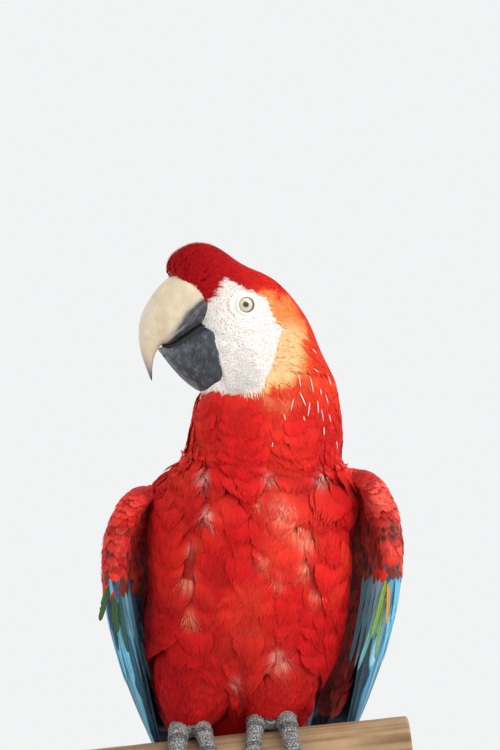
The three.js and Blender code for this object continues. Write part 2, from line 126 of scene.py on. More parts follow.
def to_head(p):
    q = np.asarray(p, float) - HC
    return q @ HF, q @ HL, q @ HU


# ------------------------------------------------------------------ the body's field, as in the solids
def _lean(c, r, lean, k):
    t = rad(lean)
    ax = np.array([[1, 0, 0], [0, math.cos(t), math.sin(t)], [0, -math.sin(t), math.cos(t)]])
    return ("e", np.array(c, float), np.array(r, float), ax, k)


def _head(f, l, u, rf, rl, ru, k):
    return ("e", in_head(f, l, u), np.array([rf, rl, ru], float), np.array([HF, HL, HU]), k)


BODY = [
    _lean([BODY_X, 7, 80], [64, 47, 66], 20, 20),
    _lean([-1, -10, 124], [62, 44, 50], 12, 24),
    _lean([0, 3, 150], [70, 39, 34], 4, 20),
    _lean([BODY_X, 40, 22], [46, 30, 44], 25, 22),
    ("r", np.array([BODY_X, 36, 62.0]), 38.0, np.array([BODY_X, 70, -34.0]), 15.0, 18),
    _lean([8, -4, 190], [49, 42, 48], 0, 12),
    _lean([9, -9, 222], [43, 38, 34], 0, 20),
    _head(-23, 0, -27, 28, 28, 31, 16),
    _head(-1, 0, -2, 31, 24.5, 25, 16),
    _head(27, 0, 16.5, 23.5, 17.5, 21, 16),
    _head(2, 0, -26, 25, 23.5, 31, 14),
]


def field(P):
    P = np.asarray(P, float)
    d = None
    for b in BODY:
        if b[0] == "e":
            q = (P - b[1]) @ b[3].T / b[2]
            k0 = np.linalg.norm(q, axis=-1)
            k1 = np.linalg.norm(q / b[2], axis=-1)
            e = k0 * (k0 - 1) / np.maximum(k1, 1e-9)
            k = b[4]
        else:
            _, a, ra, c, rb, k = b
            ab = c - a
            h = np.clip((P - a) @ ab / (ab @ ab), 0, 1)
            e = np.linalg.norm(P - a - h[..., None] * ab, axis=-1) - (ra + (rb - ra) * h)
        if d is None:
            d = e
        else:
            h = np.maximum(k - np.abs(d - e), 0) / k
            d = np.minimum(d, e) - h * h * k / 4
    return d


def gradient(P, e=0.4):
    g = np.stack([field(P + np.array(v) * e) - field(P - np.array(v) * e) for v in ((1, 0, 0), (0, 1, 0), (0, 0, 1))], -1)
    return g / (2 * e)


def to_level(P, level, steps=2):
    """Moves points square to the surface until the field there equals level."""
    for _ in range(steps):
        g = gradient(P)
        n2 = np.maximum((g * g).sum(-1), 0.05)
        P = P - g * ((field(P) - level) / n2)[..., None]
    return P


# ------------------------------------------------------------------ the bare face, as a region of the head
# Its border in the head's side view: forward and up from the head's centre, in mm.
FACE = np.array([[30, 0], [26.6, 3.2], [22.7, 8.5], [19.6, 15.1], [16.9, 16.6], [8.6, 12.4], [-1.5, 8.2],
                 [-9.7, 4.8], [-12.4, 1], [-16.4, -8.6], [-21.5, -15.5], [-18, -27], [-14, -38.4], [-9.2, -49],
                 [-4.5, -57.5], [5.2, -60], [16.6, -59.6], [27, -57], [40, -50], [50, -34], [42, -14]])


def _loop(points, n):
    m = len(points)
    t = np.arange(n) / n * m
    i = t.astype(int)
    f = (t - i)[:, None]
    P = lambda k: points[k % m]
    return 0.5 * (2 * P(i) + (P(i + 1) - P(i - 1)) * f + (2 * P(i - 1) - 5 * P(i) + 4 * P(i + 1) - P(i + 2)) * f * f
                  + (3 * P(i) - P(i - 1) - 3 * P(i + 1) + P(i + 2)) * f ** 3)


FACE_LOOP = _loop(FACE, 120)


def _face_exact(f, u):
    q = np.stack([f.ravel(), u.ravel()], -1)
    a, b = FACE_LOOP, np.roll(FACE_LOOP, -1, 0)
    best = np.full(len(q), 1e9)
    inside = np.zeros(len(q), bool)
    for i in range(len(a)):
        ab = b[i] - a[i]
        h = np.clip(((q - a[i]) @ ab) / (ab @ ab), 0, 1)
        best = np.minimum(best, ((q - a[i] - h[:, None] * ab) ** 2).sum(1))
        cross = (a[i][1] > q[:, 1]) != (b[i][1] > q[:, 1])
        xs = a[i][0] + (q[:, 1] - a[i][1]) / (b[i][1] - a[i][1] + 1e-12) * ab[0]
        inside ^= cross & (q[:, 0] < xs)
    d = np.sqrt(best)
    return np.where(inside, -d, d).reshape(f.shape)


_GF, _GU = np.meshgrid(np.arange(-70, 81, 1.0), np.arange(-120, 61, 1.0), indexing="ij")
_GD = _face_exact(_GF, _GU)


def face_distance(f, u):
    """Signed distance in mm from the bare face's border: negative on the bare skin."""
    x = np.clip(np.asarray(f, float) + 70, 0, 149.99)
    y = np.clip(np.asarray(u, float) + 120, 0, 179.99)
    i, j = x.astype(int), y.astype(int)
    a, b = x - i, y - j
    return (_GD[i, j] * (1 - a) * (1 - b) + _GD[i + 1, j] * a * (1 - b) + _GD[i, j + 1] * (1 - a) * b
            + _GD[i + 1, j + 1] * a * b)


def bare(p):
    """How far outside the bare face a point is, in mm; negative on it. Far from the head it is large."""
    f, l, u = to_head(p)
    d = face_distance(f, u)
    # the crown's middle is feathered: the bare skin is only on the sides
    side = np.clip((9 - np.abs(l)) / 4, 0, 1) * (u > -40)
    d = np.where(side > 0, np.maximum(d, 12 * side), d)
    return d + np.where((f < -80) | (u < -110), 40, 0)


# ------------------------------------------------------------------ coat depth, lie and spine
SPINE = np.array([[BODY_X, 62, -16], [BODY_X, 50, 12], [BODY_X, 34, 44], [-6, 16, 78], [-2, 4, 112], [2, -2, 146],
                  [6, -4, 180], [7, -8, 212], [2, -12, 242], [HC[0] + 2, HC[1] + 1, HC[2] - 6]])


def coat_depth(p):
    f, l, u = to_head(p)
    z = p[..., 2]
    body = lerp(5.0, 4.0, smooth(150, 200, z))
    head = 2.4 + 1.6 * smooth(12, 30, u) * smooth(-5, 15, f)
    d = lerp(body, head, smooth(-75, -45, u) * smooth(225, 245, z + 0 * u))
    b = bare(p)
    return lerp(0.7, d, smooth(-1.0, 7.0, b))


def tangent(t):
    return unit(along(SPINE, np.minimum(1, t + 0.01)) - along(SPINE, np.maximum(0, t - 0.01)))


BILL_POINT = in_head(50, 0, -6)


def lie_of(p, n, t):
    """Direction the coat lies in at p, along the surface."""
    down = -tangent(t)
    head = unit(p - BILL_POINT)
    f, l, u = to_head(p)
    w = smooth(-72, -38, u) * smooth(215, 240, p[..., 2])
    d = lerp(down, head, w[..., None])
    d = d - n * (d * n).sum(-1, keepdims=True)
    return unit(d)


# ------------------------------------------------------------------ meshes
def make_mesh(name, verts, faces, colours=None, uvs=None, mats=(), mat_index=None, shade=True):
    """verts in mm in the bird's frame; faces (n,3) or (n,4); colours {name: (verts,3)}; uvs {name: (verts,2)}."""
    me = bpy.data.meshes.new(name)
    v = world(verts).astype(np.float32)
    faces = np.asarray(faces, np.int32)
    n, k = faces.shape
    me.vertices.add(len(v))
    me.vertices.foreach_set("co", v.ravel())
    me.loops.add(n * k)
    me.loops.foreach_set("vertex_index", faces.ravel())
    me.polygons.add(n)
    me.polygons.foreach_set("loop_start", np.arange(n, dtype=np.int32) * k)
    me.polygons.foreach_set("use_smooth", np.full(n, shade, bool))
    if mat_index is not None:
        me.polygons.foreach_set("material_index", np.asarray(mat_index, np.int32))
    me.update(calc_edges=True)
    for cname, c in (colours or {}).items():
        a = me.color_attributes.new(cname, "FLOAT_COLOR", "POINT")
        rgba = np.ones((len(v), 4), np.float32)
        rgba[:, : c.shape[1]] = c
        a.data.foreach_set("color", rgba.ravel())
    for uname, uv in (uvs or {}).items():
        layer = me.uv_layers.new(name=uname)
        layer.data.foreach_set("uv", np.asarray(uv, np.float32)[faces.ravel()].ravel())
    for m in mats:
        me.materials.append(m)
    ob = bpy.data.objects.new(name, me)
    bpy.context.scene.collection.objects.link(ob)
    return ob


def grid_faces(rows, cols, wrap=True, start=0):
    i = np.arange(rows - 1)[:, None]
    j = np.arange(cols if wrap else cols - 1)[None, :]
    a = i * cols + j
    b = i * cols + (j + 1) % cols
    f = np.stack([a, b, b + cols, a + cols], -1).reshape(-1, 4)
    return f + start


def join_parts(parts):
    """parts: list of (verts, faces, colour) with the same face size; returns them as one."""
    vs, fs, cs, o = [], [], [], 0
    for v, f, c in parts:
        vs.append(v)
        fs.append(np.asarray(f) + o)
        cs.append(c)
        o += len(v)
    return np.concatenate(vs), np.concatenate(fs), np.concatenate(cs)


# ------------------------------------------------------------------ noise in space, for colours
_perm = np.random.default_rng(5).permutation(4096)


def value_noise(p, scale, seed=0):
    q = np.asarray(p, float) / scale + seed * 17.3
    i = np.floor(q).astype(int)
    f = q - i
    f = f * f * (3 - 2 * f)

    def h(x, y, z):
        return _perm[(_perm[(_perm[x & 4095] + y) & 4095] + z) & 4095] / 4095.0
    r = 0
    for dx in (0, 1):
        for dy in (0, 1):
            for dz in (0, 1):
                w = (f[..., 0] if dx else 1 - f[..., 0]) * (f[..., 1] if dy else 1 - f[..., 1]) * (f[..., 2] if dz else 1 - f[..., 2])
                r = r + w * h(i[..., 0] + dx, i[..., 1] + dy, i[..., 2] + dz)
    return r


def srgb(r, g, b):
    c = np.array([r, g, b], float) / 255
    return np.where(c <= 0.04045, c / 12.92, ((c + 0.055) / 1.055) ** 2.4)


def mix(a, b, t):
    t = np.asarray(t, float)
    if t.ndim and np.asarray(a).shape[-1] == 3:
        t = t[..., None]
    return a + (b - a) * t


# ------------------------------------------------------------------ legs: the same paths as in the solids
P_AX = np.array([math.cos(PERCH_SLOPE), 0, math.sin(PERCH_SLOPE)])
N_AX = np.array([-math.sin(PERCH_SLOPE), 0, math.cos(PERCH_SLOPE)])
Y_AX = np.array([0, 1.0, 0])


def on_perch(x, turned, r):
    x, turned, r = (np.asarray(v, float)[..., None] for v in np.broadcast_arrays(x, turned, r))
    return (np.array([FEET_X, 0, 0.0]) + P_AX * x + N_AX * (-PERCH_R + r * np.cos(turned)) - Y_AX * (r * np.sin(turned)))


TOES = {2: (38, 5.5, -6.2, -12.5, 1), 3: (51, 5.9, 6.4, 10.5, 1), 1: (27, 4.9, -5.6, -10.5, -1), 4: (46, 5.6, 6.2, 11.5, -1)}
CLAW_L, CLAW_R = 18.0, 3.1
FEET = {"left": (27.0, 1, 1.25), "right": (-25.5, -1, 1.0)}


def toe_radius(toe, t):
    return toe[1] * (1.02 - 0.28 * t + 0.07 * np.sin(t * 3 * np.pi))


def toe_path(foot, toe, t):
    rho = PERCH_R + GAP + toe[1]
    turned = toe[4] * (0.16 + t * toe[0] / rho)
    x = foot[0] + foot[1] * foot[2] * (toe[2] + (toe[3] - toe[2]) * np.clip(t, 0, 1) ** 0.8)
    return on_perch(x, turned, PERCH_R + GAP + toe_radius(toe, t))


def claw_path(foot, toe, t):
    rho = PERCH_R + GAP + toe[1]
    turned = toe[4] * (0.16 + toe[0] / rho + 0.05 + t * CLAW_L / rho)
    x = foot[0] + foot[1] * foot[2] * (toe[3] + t)
    lift = CLAW_R * np.maximum(0, 1 - t) ** 0.8 + 0.25 + 1.6 * np.sin(t * np.pi)
    return on_perch(x, turned, PERCH_R + GAP + lift)


THIGH = []
for _x, _side, _spread in FEET.values():
    _low, _high = on_perch(_x, 0, PERCH_R + 11), np.array([BODY_X + _side * 26, 4, 66.0])
    _m1, _m2 = _low + (_high - _low) * 0.37, _low + (_high - _low) * 0.74
    THIGH += [("r", _low, 12.0, _m1, 22.6, 12), ("r", _m1, 22.6, _m2, 27.0, 12), ("r", _m2, 27.0, _high, 27.0, 12)]


def field_low(P):
    """The body with its thighs."""
    d = field(P)
    for _, a, ra, c, rb, k in THIGH:
        ab = c - a
        h = np.clip((P - a) @ ab / (ab @ ab), 0, 1)
        e = np.linalg.norm(P - a - h[..., None] * ab, axis=-1) - (ra + (rb - ra) * h)
        h = np.maximum(k - np.abs(d - e), 0) / k
        d = np.minimum(d, e) - h * h * k / 4
    return d


def grad_of(fn, P, e=0.4):
    g = np.stack([fn(P + np.array(v) * e) - fn(P - np.array(v) * e) for v in ((1, 0, 0), (0, 1, 0), (0, 0, 1))], -1)
    return g / (2 * e)


def settle(fn, P, level, steps=2):
    for _ in range(steps):
        g = grad_of(fn, P)
        n2 = np.maximum((g * g).sum(-1), 0.05)
        move = ((fn(P) - level) / n2)[..., None] * g
        size = np.linalg.norm(move, axis=-1, keepdims=True)
        P = P - move * np.minimum(1, 8 / np.maximum(size, 1e-9))
    return P


# ------------------------------------------------------------------ the body's skin, from rings round the spine
def body_rings(around, ts, fan, top, level, fn=field):
    E, O, rows_t = [], [], []
    th = np.arange(around) / around * 2 * math.pi

    def dirs(t, polar, sign):
        tg = tangent(np.array(t))
        e1 = unit(np.array([1.0, 0, 0]) - tg * tg[0])
        e2 = np.cross(tg, e1)
        d = np.cos(th)[:, None] * e1 + np.sin(th)[:, None] * e2
        return d * math.sin(polar) + tg * sign * math.cos(polar)
    for i in range(1, fan):
        E.append(dirs(0, i / fan * math.pi / 2, -1)); O.append(along(SPINE, np.array(0.0))); rows_t.append(0.0)
    for t in ts:
        E.append(dirs(t, math.pi / 2, 1)); O.append(along(SPINE, np.array(t))); rows_t.append(t)
    for i in range(1, top + 1):
        E.append(dirs(1, (1 - i / (top + 1)) * math.pi / 2, 1)); O.append(along(SPINE, np.array(1.0))); rows_t.append(1.0)
    E = np.array(E)
    O = np.array(O)[:, None, :] * np.ones((1, around, 1))
    s = np.zeros(E.shape[:2])
    live = np.ones(E.shape[:2], bool)
    while live.any() and s.max() < 200:
        q = O[live] + E[live] * (s[live] + 6.0)[:, None]
        inside = fn(q) < level(q)
        k = np.argwhere(live)
        s[tuple(k[inside].T)] += 6.0
        live[tuple(k[~inside].T)] = False
    lo, hi = s, s + 6.0
    for _ in range(10):
        m = (lo + hi) / 2
        q = O + E * m[..., None]
        ins = fn(q) < level(q)
        lo = np.where(ins, m, lo)
        hi = np.where(ins, hi, m)
    P = O + E * ((lo + hi) / 2)[..., None]
    return P, np.array(rows_t)


# ------------------------------------------------------------------ relief of the bare face
EYE_AT = {1: in_head(EYE_F, EYE_L, EYE_U), -1: in_head(EYE_F, -EYE_L, EYE_U)}


def face_relief(p):
    """Height in mm that the lids, folds and pimpled rows add to the bare face."""
    f, l, u = to_head(p)
    x, y = f - EYE_F, u - EYE_U
    rho, phi = np.hypot(x, y), np.arctan2(y, x)
    n1 = value_noise(p, 3.0, 1) - 0.5
    n2 = value_noise(p, 1.3, 2) - 0.5
    e = np.hypot((x + 0.3) / 12.4, (y + 0.2) / 9.6) + n1 * 0.05
    d = 0.50 * np.exp(-((rho - 5.8) / 0.6) ** 2)
    wob = 0.35 * n1 + 0.25 * np.sin(3 * phi + 1)
    for r0, w, h in ((6.75, 0.28, -0.20), (7.8, 0.45, 0.12), (8.7, 0.25, -0.12), (9.8, 0.5, 0.08)):
        d = d + h * np.exp(-((rho - r0 - wob) / w) ** 2)
    d = d + 0.55 * (1 - smooth(0.86, 1.03, e)) - 0.3 * np.exp(-((e - 1.05) / 0.045) ** 2)
    out = smooth(1.02, 1.2, e)
    # fine rows that run back from the bill, each a line of pimples
    row = (u + 0.22 * f + 2.5 * np.sin(f * 0.09) + 1.2 * n1) / 2.3
    col = (f + 0.35 * (np.floor(row) % 2) * 2) / 1.5 + n1
    pim = np.exp(-(((row % 1) - 0.5) / 0.2) ** 2) * np.exp(-(((col % 1) - 0.5) / 0.26) ** 2)
    d = d + out * (0.34 * pim + 0.22 * n2 + 0.3 * n1)
    # loose folds under the eye, towards the jaw, and the fold behind the lower bill
    fold = np.sin((u * 0.9 - f * 0.55 + 3 * n1) * 2 * np.pi / 9.5)
    d = d + out * 0.28 * fold * smooth(-12, -24, u)
    chin = np.exp(-((f - 21 - 0.1 * (u + 40)) / 2.6) ** 2) * smooth(-22, -32, u) * smooth(-62, -54, u)
    d = d + 1.0 * chin
    return d * smooth(2.0, -1.5, bare(p))


UP_TOP = [[28, 19], [42.5, 18], [53.5, 9], [61.8, -3.5], [66.2, -17], [64.8, -34], [57.4, -52.5]]
UP_LOW = [[16, -13], [27, -17], [36, -22.5], [45, -29], [52, -30.5], [56, -39.5], [56.6, -53.1]]
UP_HALF = [16.2, 16.8, 15.6, 13, 9, 4.8, 0.7]
LO_TOP = [[7, -9], [17.5, -10.5], [27.5, -15.3], [36.3, -24.6], [45, -30.3], [52.4, -31.0]]
LO_LOW = [[4, -57], [14, -60.5], [25, -58], [35.5, -51], [44.5, -42], [51.2, -34]]
LO_HALF = [18.6, 18.8, 16.6, 13, 9.4, 6.4]

BODY_TS = np.concatenate([np.linspace(0, 0.70, 62)[:-1], np.linspace(0.70, 1, 62)])
AROUND, FAN, TOP = 220, 18, 34
_full = lambda q: -coat_depth(q)
SKIN_P, SKIN_T = body_rings(AROUND, BODY_TS, FAN, TOP, _full)
ROWS = len(SKIN_P)
# the arc length along the spine and round it unwraps the skin for the coat's map
_mid = SKIN_P.mean(1)
_arc = np.concatenate([[0], np.cumsum(np.linalg.norm(np.diff(SKIN_P, axis=0), axis=-1).mean(1))])
SKIN_V = 0.02 + 0.96 * _arc / _arc[-1]

PATCH_R = 17.0


def eye_patch(side, around=230, radial=74):
    """Lids and the skin round them, as rings out from the eyeball."""
    E, A = EYE_AT[side], HL * side
    phi = np.arange(around) / around * 2 * math.pi
    k = np.arange(radial) / (radial - 1)
    rho = LID_R + (PATCH_R - LID_R) * k ** 1.3
    R, PH = np.meshgrid(rho, phi, indexing="ij")
    oval = 1 + 0.035 * np.cos(2 * PH) * np.clip((9 - R) / 3.5, 0, 1)
    base = E + HF * (R * oval * np.cos(PH))[..., None] + HU * (R * oval * np.sin(PH))[..., None]
    lo, hi = np.full(R.shape, -8.0), np.full(R.shape, 20.0)
    for _ in range(16):
        m = (lo + hi) / 2
        q = base + A * m[..., None]
        ins = field(q) < -coat_depth(q)
        lo, hi = np.where(ins, m, lo), np.where(ins, hi, m)
    h = (lo + hi) / 2
    ball = np.sqrt(np.maximum((EYE_R + 0.12) ** 2 - R ** 2, 0.2))
    w = smooth(10.5, LID_R + 0.1, R)
    h = h + (np.maximum(ball + 0.25, h * 0 + ball) - h) * w
    # the margin itself turns in to the ball
    edge = np.clip((R - LID_R) / 0.75, 0, 1)
    h = h - 0.5 * (1 - np.sqrt(1 - (1 - edge) ** 2))
    P = base + A * h[..., None]
    n = unit(np.stack([np.gradient(P, axis=0), np.gradient(P, axis=1)], 0))
    nn = unit(np.cross(n[0], n[1]))
    nn = nn * np.sign((nn * A).sum(-1, keepdims=True))
    P = P + nn * face_relief(P)[..., None] * smooth(LID_R, LID_R + 0.7, R)[..., None]
    # a few rings go on inside, behind the ball's front, and close the skin
    inner = []
    for r, hh in ((LID_R - 0.08, 0.1), (LID_R - 0.3, 0.9), (3.9, 2.4), (2.1, 3.4)):
        rr = np.full(around, r)
        hb = np.sqrt((EYE_R + 0.12) ** 2 - r * r) - hh
        inner.append(E + HF * (rr * 1.035 * np.cos(phi))[:, None] + HU * (rr * 0.965 * np.sin(phi))[:, None] + A * hb)
    rows = np.concatenate([np.array(inner)[::-1], P])
    return rows




def mesh_from(name, verts, faces):
    me = bpy.data.meshes.new(name)
    me.from_pydata([tuple(v) for v in verts], [], [tuple(int(i) for i in f) for f in faces])
    me.update()
    return me


def tuck(P):
    """Draws the cheek in under the lower bill, in front of the bill's hind edge."""
    shape = P.shape
    P = P.reshape(-1, 3)
    f, l, u = to_head(P)
    near = (f > -8) & (f < 60) & (u < -10) & (u > -70)
    idx = np.nonzero(near)[0]
    t = np.linspace(0, 1, 80)
    C, B, w = along(np.array(LO_TOP, float), t), along(np.array(LO_LOW, float), t), along(np.array(LO_HALF, float), t)
    mid, ln = (C + B) / 2, np.linalg.norm(C - B, axis=1) / 2
    d = (C - B) / (2 * ln)[:, None]
    nrm = np.stack([d[:, 1], -d[:, 0]], -1)
    q = np.stack([f[idx], u[idx]], -1)
    rel = q[:, None] - mid[None]
    k = np.abs((rel * nrm[None]).sum(-1)).argmin(1)
    h = (rel[np.arange(len(idx)), k] * d[k]).sum(-1) / ln[k]
    s_ = l[idx] / w[k]
    rr = (np.abs(h) ** 2.9 + np.abs(s_) ** 2.9) ** (1 / 2.9)
    edge = np.interp(-u[idx], [14, 17, 25.6, 35, 48, 56, 62], [28, 26.2, 21.9, 17.2, 13.6, 12.4, 13])
    a = smooth(-0.6, 1.6, f[idx] - edge) * (rr > 0.90) * (rr < 1.7) * smooth(-66, -61, u[idx])
    target = 0.90 / np.maximum(rr, 1e-3)
    k2 = 1 + (target - 1) * a
    m2 = mid[k]
    fn_, un_ = m2[:, 0] + (f[idx] - m2[:, 0]) * 1.0, m2[:, 1] + (u[idx] - m2[:, 1]) * 1.0
    hh = h * ln[k]
    fn_ = f[idx] + d[k, 0] * hh * (k2 - 1)
    un_ = u[idx] + d[k, 1] * hh * (k2 - 1)
    ln_ = l[idx] * k2
    # behind that edge the cheek starts level with the bill and widens from there
    most = 19.0 + 0.42 * np.maximum(edge + 1.0 - f[idx], 0)
    over = np.maximum(np.abs(ln_) - most, 0)
    w_ = smooth(-14, -36, u[idx]) * smooth(-70, -60, u[idx]) * smooth(-8, 15, f[idx])
    ln_ = np.sign(ln_) * (np.abs(ln_) - 0.75 * over * w_)
    P[idx] = in_head(fn_, ln_, un_)
    return P.reshape(shape)


def skin_body():
    """The trunk, neck and head as one closed mesh with lids stitched in. In mm."""
    n = value_noise(SKIN_P, 4.0, 3) - 0.5
    d = face_relief(SKIN_P) + 0.25 * n * smooth(0, 3, bare(SKIN_P))
    P = tuck(SKIN_P + unit(gradient(SKIN_P)) * d[..., None])
    verts = P.reshape(-1, 3)
    faces = grid_faces(ROWS, AROUND)
    f, l, u = to_head(verts)
    rho = np.hypot(f - EYE_F, u - EYE_U)
    cut = (rho < PATCH_R + 0.35) & (np.abs(l) > 8)
    keep = ~cut[faces].any(1)
    faces = faces[keep]
    bm = bmesh.new()
    bv = [bm.verts.new(v) for v in verts]
    south = bm.verts.new(verts[:AROUND].mean(0))
    north = bm.verts.new(verts[-AROUND:].mean(0))
    for q in faces.tolist():
        bm.faces.new([bv[i] for i in q])
    base = (ROWS - 1) * AROUND
    for j in range(AROUND):
        k = (j + 1) % AROUND
        bm.faces.new([south, bv[k], bv[j]])
        bm.faces.new([north, bv[base + j], bv[base + k]])
    for side in (1, -1):
        rows = eye_patch(side)
        m, around = rows.shape[:2]
        pv = [bm.verts.new(v) for v in rows.reshape(-1, 3)]
        centre = bm.verts.new(rows[0].mean(0))
        for q in grid_faces(m, around).tolist():
            bm.faces.new([pv[i] for i in q])
        for j in range(around):
            bm.faces.new([centre, pv[(j + 1) % around], pv[j]])
        rim = {pv[(m - 1) * around + j] for j in range(around)}
        E = EYE_AT[side]
        border = [e for e in bm.edges if len(e.link_faces) == 1 and (
            (e.verts[0] in rim and e.verts[1] in rim) or (np.linalg.norm(np.array(e.verts[0].co) - E) < 27
                                                          and e.verts[0] not in rim and e.verts[1] not in rim))]
        bmesh.ops.bridge_loops(bm, edges=border)
    loose = [v for v in bm.verts if not v.link_faces]
    bmesh.ops.delete(bm, geom=loose, context="VERTS")
    bmesh.ops.recalc_face_normals(bm, faces=bm.faces[:])
    bad = sum(1 for e in bm.edges if len(e.link_faces) != 2)
    print("skin body", len(bm.verts), "open edges", bad)
    me = bpy.data.meshes.new("skin_body")
    bm.to_mesh(me)
    bm.free()
    return me


# ------------------------------------------------------------------ wings: the same sections as in the solids
LEAD = np.array([[66, -17, 158], [79, -30, 149], [88, -35, 126], [88, -31, 94], [81.5, -18, 59], [72, 2, 22],
                 [61, 28, -14], [47, 58, -54], [34, 88, -98], [23, 116, -145], [15, 138, -188]], float)
TRAIL = np.array([[55, 2, 162], [51, 27, 157], [46, 48, 137], [40, 67, 106], [33, 82, 71], [25, 94, 32],
                  [18, 104, -9], [13, 113, -50], [10, 122, -93], [9, 132, -139], [8, 142, -185]], float)
WING_THICK = np.array([7, 13, 15.5, 15, 13, 10, 7.5, 5.5, 4, 3, 1.6])
WING_BULGE = np.array([4, 9, 14, 18, 20, 19, 15, 11, 7, 4, 1], float)
WING_SET = {"left": (1, 5.0, 0.0), "right": (-1, -6.0, 2.0)}


def wing_at(name, u, t, scale=1.0, lift=0.0):
    """A point of the wing: u runs round its section (0 the leading edge, pi the hind edge on the outer face,
    negative on the inner face), t runs down it from wrist to tips; scale thins it, lift is mm off its face."""
    side, up, out_x = WING_SET[name]
    u, t, scale, lift = np.broadcast_arrays(*(np.asarray(v, float) for v in (u, t, scale, lift)))
    # above the wrist (t below 0) the section closes over in a dome
    dome = np.clip(-t / 0.06, 0, 1) * math.pi / 2
    t = np.maximum(t, 0)
    a, b = along(LEAD, t), along(TRAIL, t)
    chord = b - a
    th, bulge = along(WING_THICK, t), along(WING_BULGE, t)
    down = unit(along(LEAD, np.minimum(1, t + 0.03)) - along(LEAD, np.maximum(0, t - 0.03)))
    out = unit(np.cross(down, chord))
    out = out * np.where(out[..., :1] < 0, -1.0, 1.0)
    uc = np.clip(u, -math.pi, math.pi)
    s = (1 - np.cos(uc)) / 2
    half = np.sin(uc) * th * (1.02 - 0.72 * s) * scale
    cl = np.linalg.norm(chord, axis=-1)
    # past the hind edge the surface runs on flat, at the pace it had before it
    extra = np.maximum(np.abs(u) - math.pi, 0) * 4.2 / cl
    off = np.sign(u) * lift * np.abs(np.sin(uc)) + half + bulge * 4 * s * (1 - s) - 2
    fore = lift * np.clip(np.cos(uc), 0, 1)
    p = a + chord * (s + extra)[..., None] + out * off[..., None] - chord / cl[..., None] * fore[..., None]
    centre = a + chord * 0.45 + out * (bulge - 2)[..., None]
    p = np.where(dome[..., None] > 0, centre + (p - centre) * np.cos(dome)[..., None]
                 - down * ((9.0 * scale + lift) * np.sin(dome))[..., None], p)
    # set on its own side of the body, shifted sideways by out_x and moved in height by up, less towards the tips
    z = p[..., 2]
    return np.stack([side * (p[..., 0] + out_x), p[..., 1], z + up * np.clip((z + 80) / 200, 0, 1)], -1)


# ------------------------------------------------------------------ scaly toes
def worley(x, y, seed=0, jitter=0.35):
    """F1 and F2 of a jittered grid with unit cells; odd rows are shifted half a cell."""
    f1 = np.full(np.shape(x), 9.0)
    f2 = np.full(np.shape(x), 9.0)
    cid = np.zeros(np.shape(x))
    j0 = np.floor(y).astype(int)
    for dj in (-1, 0, 1):
        j = j0 + dj
        sh = 0.5 * (j & 1)
        i0 = np.floor(x - sh).astype(int)
        for di in (-1, 0, 1):
            i = i0 + di
            h1 = _perm[(_perm[(i + seed * 31) & 4095] + j) & 4095] / 4095.0
            h2 = _perm[(_perm[(i + 77 + seed * 13) & 4095] + j * 3) & 4095] / 4095.0
            d = np.hypot(x - (i + sh + 0.5 + jitter * (h1 - 0.5)), y - (j + 0.5 + jitter * (h2 - 0.5)))
            near = d < f1
            f2 = np.where(near, f1, np.minimum(f2, d))
            cid = np.where(near, h1, cid)
            f1 = np.where(near, d, f1)
    return f1, f2, cid


def scale_relief(x, y, dorsal, seed):
    """x along and y round the toe in mm; dorsal 1 on its top. Returns height 0..1 and a tone."""
    f1, f2, c1 = worley(x / 1.0, y / 0.98, seed, 0.5)
    small = smooth(0.02, 0.42, f2 - f1) * (1 - 0.35 * f1)
    g1, g2, c2 = worley(y / 2.1 + 0.5, x / 1.5, seed + 3, 0.35)
    big = smooth(0.02, 0.30, g2 - g1) * (1 - 0.25 * g1)
    w = smooth(0.35, 0.75, dorsal)
    return lerp(small, big, w), lerp(c1, c2, w)


def shell(rows, start=None, end=None):
    """Closed mesh from rings of equal count."""
    rows = np.asarray(rows)
    m, n = rows.shape[:2]
    v = np.concatenate([rows.reshape(-1, 3), [rows[0].mean(0) if start is None else start],
                        [rows[-1].mean(0) if end is None else end]])
    faces = [tuple(q) for q in grid_faces(m, n).tolist()]
    for j in range(n):
        k = (j + 1) % n
        faces.append((m * n, k, j))
        faces.append((m * n + 1, (m - 1) * n + j, (m - 1) * n + k))
    return v, faces


LIMB_TONE = []  # (points, tone) of the scaly parts, for the skin's colours


def limb_mesh(name, rows, tone=None, start=None, end=None):
    v, faces = shell(rows, start, end)
    me = bpy.data.meshes.new(name)
    me.from_pydata([tuple(x) for x in v], [], faces)
    t = np.full(len(v), -1.0) if tone is None else np.concatenate([tone.ravel(), [tone.ravel()[0], tone.ravel()[-1]]])
    me.attributes.new("tone", "FLOAT", "POINT").data.foreach_set("value", t.astype(np.float32))
    bm = bmesh.new()
    bm.from_mesh(me)
    bmesh.ops.recalc_face_normals(bm, faces=bm.faces[:])
    bm.to_mesh(me)
    bm.free()
    return me


